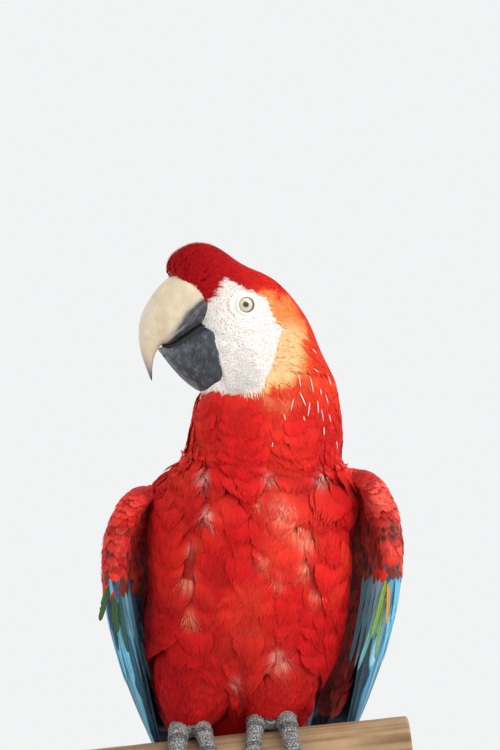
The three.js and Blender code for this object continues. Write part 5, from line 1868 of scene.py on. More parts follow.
def thigh_group(i, rng):
    P, T, A = thigh_rows(i, 40, 72, np.full((40, 72), -3.2))
    p, rows, cols = sample_grid(P, np.ones((39, 72)), 9000, rng)
    ok = field(p) > -3.0
    p, rows, cols = p[ok], rows[ok], cols[ok]
    k = darts(p, np.full(len(p), 4.2), rng)
    p, rows, cols = p[k], rows[k], cols[k]
    n = unit(grad_of(field_low, p))
    ax = unit(THIGH[3 * i][1] - THIGH[3 * i + 2][3])
    d = unit(ax - n * (n @ ax)[:, None])
    d = turned(d, n, (rng.random(len(p)) - 0.5) * 0.5)
    N = len(p)
    low = 1 - smooth(0, 0.5, rows / 39)
    L, W = 17 - 5 * low, 5.6 - 1.2 * low
    depth = np.full(N, 3.0)
    V, AA, BB, faces = vanes(field_low, p, n, d, L * (0.9 + 0.2 * rng.random(N)), W, depth, 0.4 * rng.random(N) + 0.2, 6, 13, rng,
                             camber=np.full(N, 0.3), fray=0.34)
    base = red_coat(p, rng)
    uv = np.stack([0.02 + 0.46 * (cols / 72) + 0.5 * i, 0.02 + 0.96 * rows / 39], -1)
    return (V, faces, paint(base, AA, BB, rng, None, edge=0.05), uv, AA, BB)


def vent_group(rng):
    """Feathers that hang from the belly between the legs, down to the perch."""
    x, y = np.meshgrid(np.linspace(-40, 42, 19), [-16.0, -11.0, -5.0, 3.0, 12.0])
    x = (x + 2.5 * rng.standard_normal(x.shape)).ravel()
    y = (y + 1.5 * rng.standard_normal(y.shape)).ravel()
    z = 36 + 3 * rng.standard_normal(len(x))
    own = (y > front_of(x, z - 10)[:, 1] + 1.5) & (y > front_of(x, z)[:, 1] + 1.5) & (np.abs(x - 2) < 32)
    x, y, z = x[own], y[own], z[own]
    N = len(x)
    root = np.stack([x, y, z], -1)
    n = np.tile([0.0, -1.0, 0.0], (N, 1))
    d = unit(np.stack([(x / 40) * 0.10 + 0.08 * rng.standard_normal(N), np.zeros(N), -np.ones(N)], -1))
    P, A, B, faces = vanes(lambda q: -q[..., 1], root, n, d, 24 + 7 * rng.random(N), np.full(N, 4.6), y - 0.8, -y + 1.5, 7, 19, rng,
                           camber=np.full(N, 0.6), fray=0.42)
    base = mix(srgb(176, 14, 18), srgb(214, 30, 26), rng.random(N))
    uv = np.stack([0.1 + 0.8 * (x + 46) / 92, 0.1 + 0.8 * (y + 22) / 40], -1)
    return (P, faces, paint(base, A, B, rng, None, edge=0.05, streak=0.08), np.clip(uv, 0.02, 0.98), A, B)


_gv = vent_group(_rng)
coat_piece("coat_vent", [_gv], M_FEATHER)
strand_piece("barbs_vent", [barbs_of(_gv, None, lambda q: -q[..., 1], 40, _rng, 8.0, 0.4, up=0.6, tone=0.14, spread=0.4)], M_BARB)
_gs = [thigh_group(i, _rng) for i in (0, 1)]
coat_piece("coat_thighs", _gs, M_FEATHER)
strand_piece("barbs_thighs", [barbs_of(g, None, field_low, 22, _rng, 9.0, 0.5, up=0.6, tone=0.2) for g in _gs], M_BARB)
tick("thighs")


# ------------------------------------------------------------------ tiny feathers of the bare face, in arcs round the eye
def face_dashes(rng):
    out = []
    for side in (1, -1):
        rho = np.arange(10.6, 62, 1.8)
        P, D = [], []
        for i, r in enumerate(rho):
            m = int(2 * np.pi * r / 1.65)
            ph = (np.arange(m) + 0.5 * (i % 2) + 0.8 * (rng.random(m) - 0.5)) / m * 2 * np.pi
            rr = r + 1.1 * (rng.random(m) - 0.5)
            f, u = EYE_F + rr * np.cos(ph) * 1.05, EYE_U + rr * np.sin(ph) * 0.92
            ok = (face_distance(f, u) < -1.0) & (rng.random(m) > 0.12)
            f, u, ph = f[ok], u[ok], ph[ok]
            lo, hi = np.zeros(len(f)), np.full(len(f), 60.0)
            q0 = in_head(f, np.zeros(len(f)), u)
            for _ in range(14):
                mm = (lo + hi) / 2
                ins = field(q0 + side * HL * mm[:, None]) < -0.7
                lo, hi = np.where(ins, mm, lo), np.where(ins, hi, mm)
            P.append(q0 + side * HL * lo[:, None])
            D.append(HU * (-np.cos(ph))[:, None] * 1.0 + HF * (np.sin(ph))[:, None])
        out.append((np.concatenate(P), np.concatenate(D)))
    p = np.concatenate([x[0] for x in out])
    d = np.concatenate([x[1] for x in out])
    ok = bill_gap(p) > 1.0
    p, d = p[ok], d[ok]
    n = unit(gradient(p))
    back = unit(-HF - HU * 0.5)
    d = d * np.sign((d @ back))[:, None]
    d = unit(d - n * (d * n).sum(-1, keepdims=True))
    d = turned(d, n, (rng.random(len(p)) - 0.5) * 0.6)
    N = len(p)
    rel = face_relief(p) - 0.7
    V, F, A, B = strands(field, p, n, d, 0.9 + 1.2 * rng.random(N), np.full(N, 0.46), rel + 0.02, rel + 0.12, rng, segs=2)
    f, l, u = to_head(p)
    k = value_noise(p, 6, 121)
    c = mix(srgb(212, 158, 150), srgb(162, 84, 84), np.clip(rng.random(N) * 0.9 + 1.2 * (k - 0.5), 0, 1))
    c = mix(c, srgb(206, 190, 182), np.clip(0.75 * smooth(-16, -30, u) + 0.3 * (rng.random(N) - 0.3), 0, 1))
    uv = np.stack([0.02 + 0.46 * (f + 30) / 90 + 0.5 * (l < 0), 0.02 + 0.9 * (u + 70) / 95], -1)
    return V, F, np.broadcast_to(c[:, None], V.shape).copy(), uv, A, B


def cheek_hairs(rng):
    """Fine pale-to-orange feathers that cover the bare cheek's hind border."""
    rows, cols = ROWS - 1, AROUND
    p, rr, cc = sample_grid(SKIN_P, (SKIN_P[:-1, :, 2] > 205).astype(float), 60000, rng)
    f, l, u = to_head(p)
    b = bare(p)
    fd = face_distance(f, u)
    hind = smooth(9, 1, f) * smooth(14, 6, u)
    ok = (b > -3.2) & (fd < 17) & (np.abs(l) > 7) & (rng.random(len(p)) < 0.25 + hind) & (bill_gap(p) > 1) & (rng.random(len(p)) < smooth(-3.4, 1.5, b) + 0.12)
    p, rr, cc = p[ok], rr[ok], cc[ok]
    k = darts(p, np.full(len(p), 0.62), rng)[:9000]
    p, rr, cc = p[k], rr[k], cc[k]
    n = unit(gradient(p))
    d = lie_of(p, n, spine_t(rr))
    d = turned(d, n, (rng.random(len(p)) - 0.5) * 0.45)
    f, l, u = to_head(p)
    fd = face_distance(f, u)
    t = fd + 2.5 * (rng.random(len(p)) - 0.5)
    hind = smooth(9, 1, f) * smooth(12, 4, u)
    L = (3.0 + 7.0 * hind * smooth(-3, 5, fd)) * (0.75 + 0.5 * rng.random(len(p)))
    dep = coat_depth(p)
    V, F, A, B = strands(field, p, n, d, L, np.full(len(p), 0.42), -dep, 0.08 + 0.2 * rng.random(len(p)), rng, segs=3)
    root = mix(srgb(250, 238, 222), srgb(255, 214, 164), smooth(-1, 4, t))
    root = mix(root, ORANGE, smooth(5, 15, t))
    tipc = mix(srgb(255, 220, 178), srgb(253, 178, 110), smooth(-1, 7, t))
    tipc = mix(tipc, ORANGE, smooth(7, 16, t))
    red = mix(RED, CRIMSON, smooth(4, 18, u))
    w = np.clip(1 - hind, 0, 1)
    under = smooth(-50, -58, u)
    root = mix(root, mix(red, srgb(250, 170, 120), under * 0.5), w)
    tipc = mix(tipc, red, w)
    c = root[:, None] + (tipc - root)[:, None] * A[None, :, None]
    c = c * (1 + 0.16 * (rng.random((len(p), 1, 1)) - 0.45))
    return V, F, c, root_uv(rr, cc), A, B


_rng = np.random.default_rng(61)
strand_piece("face_feathers", [face_dashes(_rng)], M_BARB)
strand_piece("cheek_feathers", [cheek_hairs(_rng)], M_BARB)
tick("face")


# ------------------------------------------------------------------ pin feathers and pale tufts
def down_lie(p, n):
    t = np.clip(np.interp(p[:, 2], SPINE[:, 2], np.linspace(0, 1, len(SPINE))), 0, 1)
    return lie_of(p, n, t)


# x and z of the neck's new feathers still in their white sheaths, as far apart as on the bird
PINS = [(25, 206), (32, 210), (36, 204), (42, 206), (45, 201), (46, 191), (33, 197), (35, 190), (38, 185), (27, 184),
        (24, 175), (9, 192), (-15, 198), (40, 244), (41, 230), (44, 216), (50, 225), (55, 184), (48, 212), (30, 222),
        (38, 220), (-20, 176), (20, 198), (50, 200), (12, 180)]


def pin_feathers(rng):
    pts = np.array(PINS, float)
    p = front_of(pts[:, 0] * 0.97, pts[:, 1], 0.2)
    back = p.copy()
    back[:, 0] = -p[:, 0] * 0.9
    back[:, 1] = -p[:, 1] * 0.6 + 6
    extra = settle(field, back[::2], np.full(len(back[::2]), 0.3), 6)
    p = np.concatenate([p, extra])
    n = unit(gradient(p))
    d = down_lie(p, n)
    d = turned(d, n, (rng.random(len(p)) - 0.5) * 0.7)
    N = len(p)
    L = 3.5 + 7 * rng.random(N) ** 1.5
    rows, around = 9, 8
    t = np.linspace(0, 1, rows)
    a = np.arange(around) / around * 2 * np.pi
    side = np.cross(n, d)
    c = p[:, None] + d[:, None] * ((t - 0.5)[None] * L[:, None])[..., None]
    c = settle(field, c, 0.55 + 0.5 * t[None] * np.ones((N, 1)), 2)
    r = (0.24 + 0.12 * rng.random(N))[:, None] * np.sqrt(np.clip(1 - (2 * t - 1) ** 2, 0, 1)) [None] ** 0.7 + 0.03
    V = c[:, :, None] + (side[:, None, None] * np.cos(a)[None, None, :, None] + n[:, None, None] * np.sin(a)[None, None, :, None]) * r[:, :, None, None]
    V = V.reshape(N, rows * around, 3)
    q = grid_faces(rows, around)
    F = np.concatenate([q[:, [0, 1, 2]], q[:, [0, 2, 3]]])
    A = np.repeat(t, around)
    B = np.tile(np.cos(a), rows)
    col = mix(srgb(240, 232, 224), srgb(226, 180, 168), rng.random(N) * 0.7)
    col = np.broadcast_to(col[:, None], V.shape).copy()
    uv = np.stack([0.1 + 0.8 * rng.random(N), 0.1 + 0.8 * rng.random(N)], -1)
    return V, F, col, uv, A, B


def tuft_strands(rng):
    P, W, S, K = [], [], [], []
    for x, z, size, warm in TUFTS:
        if x < -45:
            continue
        m = int(4 + size * 1.8)
        q = rng.standard_normal((m, 2)) * size * 0.28
        P.append(front_of(x + q[:, 0], z + 2 + q[:, 1] * 0.8, -1.2))
        W.append(np.full(m, warm)); S.append(np.full(m, size)); K.append(q[:, 0] / size)
    p, warm, size, k = (np.concatenate(v) for v in (P, W, S, K))
    fn = field_low
    n = unit(grad_of(fn, p))
    d = down_lie(p, n)
    N = len(p)
    d = turned(d, n, k * 0.55 + (rng.random(N) - 0.5) * 0.4)
    L = np.minimum(size * (0.5 + 0.6 * rng.random(N)) + 2, 7.0)
    h0 = folds(p)[0]
    V, F, A, B = strands(fn, p, n, d, L, np.full(N, 0.4), h0 - 0.3, h0 + 0.3 + 0.4 * rng.random(N), rng, segs=3, curl=0.25)
    pale = mix(srgb(222, 184, 172), srgb(246, 138, 104), warm)
    tipc = mix(srgb(234, 110, 92), srgb(240, 74, 52), np.clip(warm + 0.4 * (rng.random(N) - 0.2), 0, 1))
    c = pale[:, None] + (tipc - pale)[:, None] * A[None, :, None]
    c = c * (1 + 0.2 * (rng.random((N, 1, 1)) - 0.5))
    uv = np.stack([0.05 + 0.9 * (p[:, 0] + 80) / 160, 0.05 + 0.9 * p[:, 2] / 200], -1)
    return V, F, c, uv, A, B


strand_piece("pin_feathers", [pin_feathers(_rng)], M_SHEATH)
strand_piece("breast_down", [tuft_strands(_rng)], M_BARB)
tick("pins and down")


# ------------------------------------------------------------------ wings: rows of coverts
DOME_MM = 9.0 * math.pi / 2 / 0.06      # mm round the shoulder per unit of t above the wrist


def wing_lengths(name, u=0.7):
    t = np.linspace(0, 1, 400)
    p = wing_at(name, np.full(400, u), t)
    return t, np.concatenate([[0], np.cumsum(np.linalg.norm(np.diff(p, axis=0), axis=1))])


def wing_round(name, t):
    u = np.linspace(-math.pi, math.pi, 241)
    p = wing_at(name, u, np.full(241, t))
    return u, np.concatenate([[0], np.cumsum(np.linalg.norm(np.diff(p, axis=0), axis=1))])


def wing_metric(name, u, t, e=0.01):
    gu = np.linalg.norm(wing_at(name, u + e, t) - wing_at(name, u - e, t), axis=-1) / (2 * e)
    gt = np.linalg.norm(wing_at(name, u, np.minimum(t + e, 1)) - wing_at(name, u, np.maximum(t - e, -0.06)), axis=-1) / (
        np.minimum(t + e, 1) - np.maximum(t - e, -0.06))
    return np.maximum(gu, 3), gt


def walk_table(name, rows=90, cols=241):
    """How many mm round the section each u lies, for a ladder of t."""
    u = np.linspace(-math.pi, math.pi, cols)
    t = np.linspace(-0.06, 1.0, rows)
    U, T = np.meshgrid(u, t)
    p = wing_at(name, U, T, 0.93)
    r = np.concatenate([np.zeros((rows, 1)), np.cumsum(np.linalg.norm(np.diff(p, axis=1), axis=-1), axis=1)], 1)
    return u, t, r


WALK = {k: walk_table(k) for k in WING_SET}


def wing_walk(name, u0, t, y):
    """The u that lies y mm round the section from u0, at t; past the hind edge it runs on."""
    u, tt, r = WALK[name]
    u0, t, y = np.broadcast_arrays(*(np.asarray(v, float) for v in (u0, t, y)))
    x = np.clip((t.ravel() - tt[0]) / (tt[-1] - tt[0]) * (len(tt) - 1), 0, len(tt) - 1.001)
    i = x.astype(int)
    f = x - i
    a, b, out = u0.ravel(), y.ravel(), np.zeros(t.size)
    for k in np.unique(i):
        for row, wgt in ((k, 1 - f), (k + 1, f)):
            m = i == k
            d = np.interp(a[m], u, r[row]) + b[m]
            v = np.interp(d, r[row], u)
            v = v + np.where(d > r[row][-1], (d - r[row][-1]) / 4.2, 0) + np.where(d < 0, d / 4.2, 0)
            out[m] += v * wgt[m]
    return out.reshape(t.shape)


def wing_vanes(name, u0, t0, psi, L, W, lift0, lift1, na, nb, rng, fray=0.3, camber=0.5, tip=0.3, taper=0.25):
    """Coverts over the wing's faces, in its own round-and-along coordinates."""
    N = len(u0)
    a = np.append(np.linspace(0, 1 - fray * 1.06, na - 1), 1.0)
    A, B = np.meshgrid(a, np.linspace(-1, 1, nb), indexing="ij")
    faces = grid_faces(na, nb, wrap=False)
    A = np.broadcast_to(A, (N, na, nb)).copy()
    B = np.broadcast_to(B, (N, na, nb)).copy()
    gap = (np.arange(nb) % 2 == 1)
    cut = np.where(gap, fray * (0.6 + 0.4 * rng.random((N, nb))), fray * 0.35 * rng.random((N, nb)) ** 1.5)
    A[:, -1] = 1 - cut
    x = (A - tip * np.abs(B) ** 2.4 * A ** 1.6) * L[:, None, None]
    y = B * (0.4 + 0.6 * smooth(-0.05, 0.4, A)) * (1 - taper * smooth(0.75 if taper < 0.3 else 0.3, 1, A)) * W[:, None, None]
    gu, gt = wing_metric(name, u0, t0)
    c, s = np.cos(psi)[:, None, None], np.sin(psi)[:, None, None]
    T = t0[:, None, None] + (x * c - y * s) / gt[:, None, None]
    U = wing_walk(name, np.broadcast_to(u0[:, None, None], T.shape), np.broadcast_to(t0[:, None, None], T.shape), y * c + x * s)
    up = 1 - (1 - A) ** 2.2
    lv = lift0[:, None, None] + (lift1 - lift0)[:, None, None] * up - camber * B ** 2 * (0.3 + 0.7 * A) + 0.1 * (np.abs(B) < 0.01)
    # keep to one side of the section's ends
    return wing_at(name, U, np.clip(T, -0.055, 1), 0.93, lv), A, B, faces


def covert_rows(name, s_list, across, psi_of, rng, u_lo=-math.pi, u_hi=math.pi):
    t_of, s_of = wing_lengths(name)
    U, T, R = [], [], []
    for k, s_ in enumerate(s_list):
        t = np.interp(s_, s_of, t_of) if s_ >= 0 else s_ / DOME_MM
        u, r = wing_round(name, t)
        r0, r1 = np.interp(u_lo, u, r), np.interp(u_hi, u, r)
        m = max(1, int((r1 - r0) / across))
        pos = r0 + (np.arange(m) + 0.5 * (k % 2) + 0.12 * rng.standard_normal(m)) * (r1 - r0) / m
        U.append(np.interp(np.clip(pos, 0, r[-1]), r, u))
        sj = s_ + rng.standard_normal(m) * 0.9
        T.append(np.clip(np.where(sj >= 0, np.interp(sj, s_of, t_of), sj / DOME_MM), -0.05, 0.98))
        R.append(np.full(m, s_))
    return np.concatenate(U), np.concatenate(T), np.concatenate(R)


def wing_uv(u, t):
    return np.stack([0.02 + 0.96 * (u + math.pi) / (2 * math.pi), 0.02 + 0.96 * t], -1)


def wing_coverts(name):
    rng = np.random.default_rng(31 if name == "left" else 32)
    groups, barbs = [], []

    def small(s_list, across, u_lo, u_hi, L0, L1, spots_from, spots_to):
        u, t, s_ = covert_rows(name, s_list, across, None, rng, u_lo, u_hi)
        N = len(u)
        psi = 0.30 * np.sin(u) + (rng.random(N) - 0.5) * 0.35
        big = smooth(10, 70, s_)
        L, W = lerp(L0, L1, big), lerp(3.5, 5.2, big)
        L = L * (0.85 + 0.3 * rng.random(N))
        P, A, B, faces = wing_vanes(name, u, t, psi, L, W, np.full(N, -2.2), 0.15 + 0.8 * rng.random(N) ** 2, 6, 11, rng, fray=0.3,
                                    camber=0.3)
        root = P[:, 0].mean(1)
        n = value_noise(root, 10, 101)
        r = rng.random(N)
        # painted light: the left wing, on the lamp's side, gets lighter reds than the right
        painted_lit_wing = name == "left"
        base = mix(srgb(222, 32, 34) if painted_lit_wing else srgb(214, 26, 28), srgb(248, 92, 76) if painted_lit_wing else srgb(240, 62, 52), np.clip(n + 0.5 * (r - 0.5), 0, 1))
        base = mix(base, srgb(150, 10, 18), 0.7 * smooth(0.5, 0.75, value_noise(root, 7, 103)))
        # darker on the inner face by the breast and at the shoulder's inner top: partly the coverts' darker underside,
        # partly painted shade in the gap by the breast
        base = mix(base, srgb(40, 8, 14), 0.72 * smooth(-1.35, -1.9, u) * smooth(-8, 20, s_))
        spots = smooth(spots_from, spots_to, s_) * smooth(0.48, 0.66, value_noise(root, 6.5, 102) + 0.25 * (r - 0.5)) * smooth(2.4, 1.2, np.abs(u - 0.2))
        col = paint(base, A, B, rng, srgb(120, 20, 20), edge=0.06, streak=0.10)
        centre = (np.exp(-(B / 0.6) ** 2) * smooth(0.30, 0.5, A) * smooth(1.02, 0.85, A))[..., None] * spots[:, None, None, None]
        col = col + (OLIVE - col) * np.clip(1.3 * centre, 0, 0.9)
        fr = (smooth(0.45, 0.1, np.abs(u + 0.2)) * (s_ < 80) * (rng.random(N) > 0.3))[:, None, None, None] * smooth(0.6, 1, A)[..., None]
        col = col + (srgb(244, 150, 124) - col) * 0.3 * fr
        groups.append((P, faces, col, wing_uv(u, t), A, B))

    # small scale-like coverts from the wrist down, and on down the inner face
    small(np.concatenate([[-11, -8, -5], np.arange(-2, 30, 3.6), np.arange(30, 60, 4.6)]), 5.4, -math.pi, math.pi, 7.5, 13.0, 22, 50)
    small(np.arange(62, 176, 6.2), 6.4, -2.95, -1.28, 15.0, 15.0, 20, 60)
    # middle coverts: dark olive and red in front, yellow and green behind
    for s0, L0, W0, across in ((62, 15, 5.6, 7.0), (69, 18, 6.2, 8.5)):
        u, t, s_ = covert_rows(name, [s0], across, None, rng, -1.6, math.pi)
        N = len(u)
        psi = 0.22 * np.sin(u) + (rng.random(N) - 0.5) * 0.25
        r = rng.random(N)
        lift = 0.2 + 0.6 * rng.random(N)
        P, A, B, faces = wing_vanes(name, u, t, psi, np.full(N, L0) * (0.8 + 0.4 * rng.random(N)), np.full(N, W0), np.full(N, -2.0),
                                    lift, 8, 15, rng, fray=0.16)
        base = np.where((u > 1.25)[:, None], mix(YELLOW, srgb(206, 150, 40), r), mix(srgb(230, 58, 42), srgb(70, 46, 40), (r > 0.66) * 0.85))
        col = paint(base, A, B, rng, srgb(90, 60, 40), edge=0.0, streak=0.1)
        g = (smooth(0.5, 0.8, A) * 1.0)[..., None] * ((u > 1.0) & (r > 0.2))[:, None, None, None]
        col = col + (GREEN - col) * g * 0.9
        dk = (smooth(0.55, 0.9, A) * np.exp(-(B / 0.7) ** 2))[..., None] * ((u <= 1.0) & (r < 0.5))[:, None, None, None]
        col = col + (srgb(40, 34, 34) - col) * dk * 0.8
        groups.append((P, faces, col, wing_uv(u, t), A, B))
    coat_piece("coat_wing_%s" % name, groups, M_FEATHER, ["wing_%s_coverts" % name])
    # long coverts, blue outside and round the front edge
    groups = []
    for s0, L0, W0, across in ((64, 48, 7.0, 9.6), (76, 60, 7.4, 10.4)):
        u, t, s_ = covert_rows(name, [s0], across, None, rng, -1.30, 2.95)
        N = len(u)
        psi = 0.12 * np.sin(u) + (rng.random(N) - 0.5) * 0.08
        P, A, B, faces = wing_vanes(name, u, t, psi, np.full(N, L0) * (0.85 + 0.3 * rng.random(N)), np.full(N, W0), np.full(N, -1.6),
                                    0.3 + 0.7 * rng.random(N) + 0.6 * smooth(-0.7, -1.2, u), 16, 15, rng, fray=0.07, tip=0.14, taper=0.5)
        r = rng.random(N)
        base = mix(SKY, AZURE, np.clip(0.6 * r, 0, 1))
        face = smooth(-1.5, -1.0, u) * smooth(0.5, 0.1, u)          # the band that shows from the front: its sky blue is painted paler as painted light, fully on the left wing and only a little on the right
        # painted shade: the right wing's band is barely paled, and a third of its feathers near the front are darkened
        # towards navy
        if name == "right":
            face = face * 0.2
            base = mix(base, NAVY, 0.7 * (r > 0.66) * smooth(1.0, 0.4, u))
        base = np.where((r > 0.8)[:, None], mix(base, NAVY, 0.8 * (1 - face)), base)
        base = mix(base, srgb(156, 220, 244), 0.85 * face)
        base = np.where(((u > 0.9) & (r > 0.66) & (s0 < 70))[:, None], GREEN, base)
        col = paint(base, A, B, rng, NAVY, edge=0.05, streak=0.06)
        # painted shadow: dark lines along each feather's edges where the next one overlaps it, fainter in the front
        # band; the thin dark line down the middle is the shaft
        line = np.clip(smooth(0.70, 0.95, np.abs(B)) * 0.95 + np.exp(-(B / 0.06) ** 2) * 0.5, 0, 1)[..., None]
        col = col + (NAVY * 0.8 - col) * line * (1 - 0.65 * face)[:, None, None, None]
        groups.append((P, faces, col, wing_uv(u, t), A, B))
    coat_piece("coat_wing_long_%s" % name, groups, M_FEATHER)


for _name in WING_SET:
    wing_coverts(_name)
tick("wing coverts")


# ------------------------------------------------------------------ flight and tail feathers, one by one
ACROSS = np.array([-1, -0.72, -0.42, -0.16, -0.05, 0, 0.05, 0.16, 0.42, 0.72, 1.0])


def long_vane(surf, half, rows, rng, thick=0.5, notch=6, skew=0.0, frayed=0.5, camber=0.6, quill=0.45):
    """A long feather as a thin closed solid. surf(a, y, lift) gives its sheet; half(a) its half width in mm.
    Returns rings of points round its section, with how far along and across each one is, and which face."""
    a = np.linspace(0, 1, rows)
    nb = len(ACROSS)
    b = np.concatenate([ACROSS, ACROSS[::-1], ACROSS[:1]])
    face = np.concatenate([np.ones(nb), -np.ones(nb), np.ones(1)])
    A, Bb = np.meshgrid(a, b, indexing="ij")
    F = np.broadcast_to(face, A.shape)
    w = half(a)[:, None] * np.ones_like(A)
    loss = np.zeros((rows, 2))
    for _ in range(notch):
        i, sd = rng.integers(rows // 4, rows - 2), rng.integers(0, 2)
        depth_, span = rng.random() * 0.45 + 0.12, rng.integers(1, 3)
        for k in range(-span, span + 1):
            if 0 <= i + k < rows:
                loss[i + k, sd] = max(loss[i + k, sd], depth_ * (1 - abs(k) / (span + 1)))
    rag = rng.random((rows, 2)) * 0.09 * frayed
    el = np.where(Bb < 0, (loss + rag)[:, :1], (loss + rag)[:, 1:])
    y = Bb * w * (1 - el * np.abs(Bb) ** 2) + skew * w * (1 - np.abs(Bb)) * 0
    # an offset along the feather for the edges, set to zero: the barbs don't slant
    da = 0.02 * np.abs(Bb) * 0
    lift = -camber * Bb ** 2 + F * thick / 2 * (1 - 0.5 * np.abs(Bb)) + F * quill * np.exp(-(Bb / 0.06) ** 2) * (1 - 0.75 * A)
    return surf(np.clip(A + da, 0, 1), y, lift), A, Bb, F


def long_piece(name, vanes_, mat, replaces=()):
    """vanes_: list of (P rows x ring, colours). Each has its own strip of the coat's map."""
    V, F, C, UV, VU, o = [], [], [], [], [], 0
    n = len(vanes_)
    for i, (P, col, A, B) in enumerate(vanes_):
        m, k = P.shape[:2]
        V.append(P.reshape(-1, 3))
        F.append(grid_faces(m, k, wrap=False, start=o))
        C.append(col.reshape(-1, 3))
        x = np.broadcast_to(np.linspace(0, 1, k), (m, k))
        y = np.broadcast_to(np.linspace(0, 1, m)[:, None], (m, k))
        UV.append(np.stack([(i + 0.06 + 0.88 * x) / n, 0.01 + 0.98 * y], -1).reshape(-1, 2))
        VU.append(np.stack([(B + 1) / 2, A + i * 0.37], -1).reshape(-1, 2))
        o += m * k
    V, F, C, UV, VU = (np.concatenate(x) for x in (V, F, C, UV, VU))
    ob = make_mesh(name, V, F, {"Col": C.astype(np.float32)}, {"OFBake": UV, "vane": VU}, [mat])
    print(name, "triangles", len(F) * 2)
    return place(ob, replaces)


def vane_colour(A, B, F, outer, inner, under, tip, rng, edge=None, tip_at=0.9):
    """Outer vane and shaft side, inner vane, underside and tip of a long feather."""
    rows, k = A.shape
    c = mix(outer, inner, smooth(-0.15, 0.35, B))
    if edge is not None:
        c = mix(c, edge, 0.8 * np.exp(-((np.abs(B) - 1) / 0.16) ** 2))
    c = mix(c, tip, smooth(tip_at - 0.1, tip_at + 0.08, A))
    c = c * (1 + 0.12 * (rng.random((rows, 1)) - 0.5))[..., None]
    c = mix(c, srgb(20, 18, 22), 0.85 * np.exp(-(B / 0.055) ** 2))
    u = np.broadcast_to(under, c.shape) * (1 + 0.15 * (rng.random((rows, 1)) - 0.5))[..., None]
    u = mix(u, srgb(60, 30, 24), 0.6 * np.exp(-(B / 0.055) ** 2))
    return np.where((F > 0)[..., None], c, u)


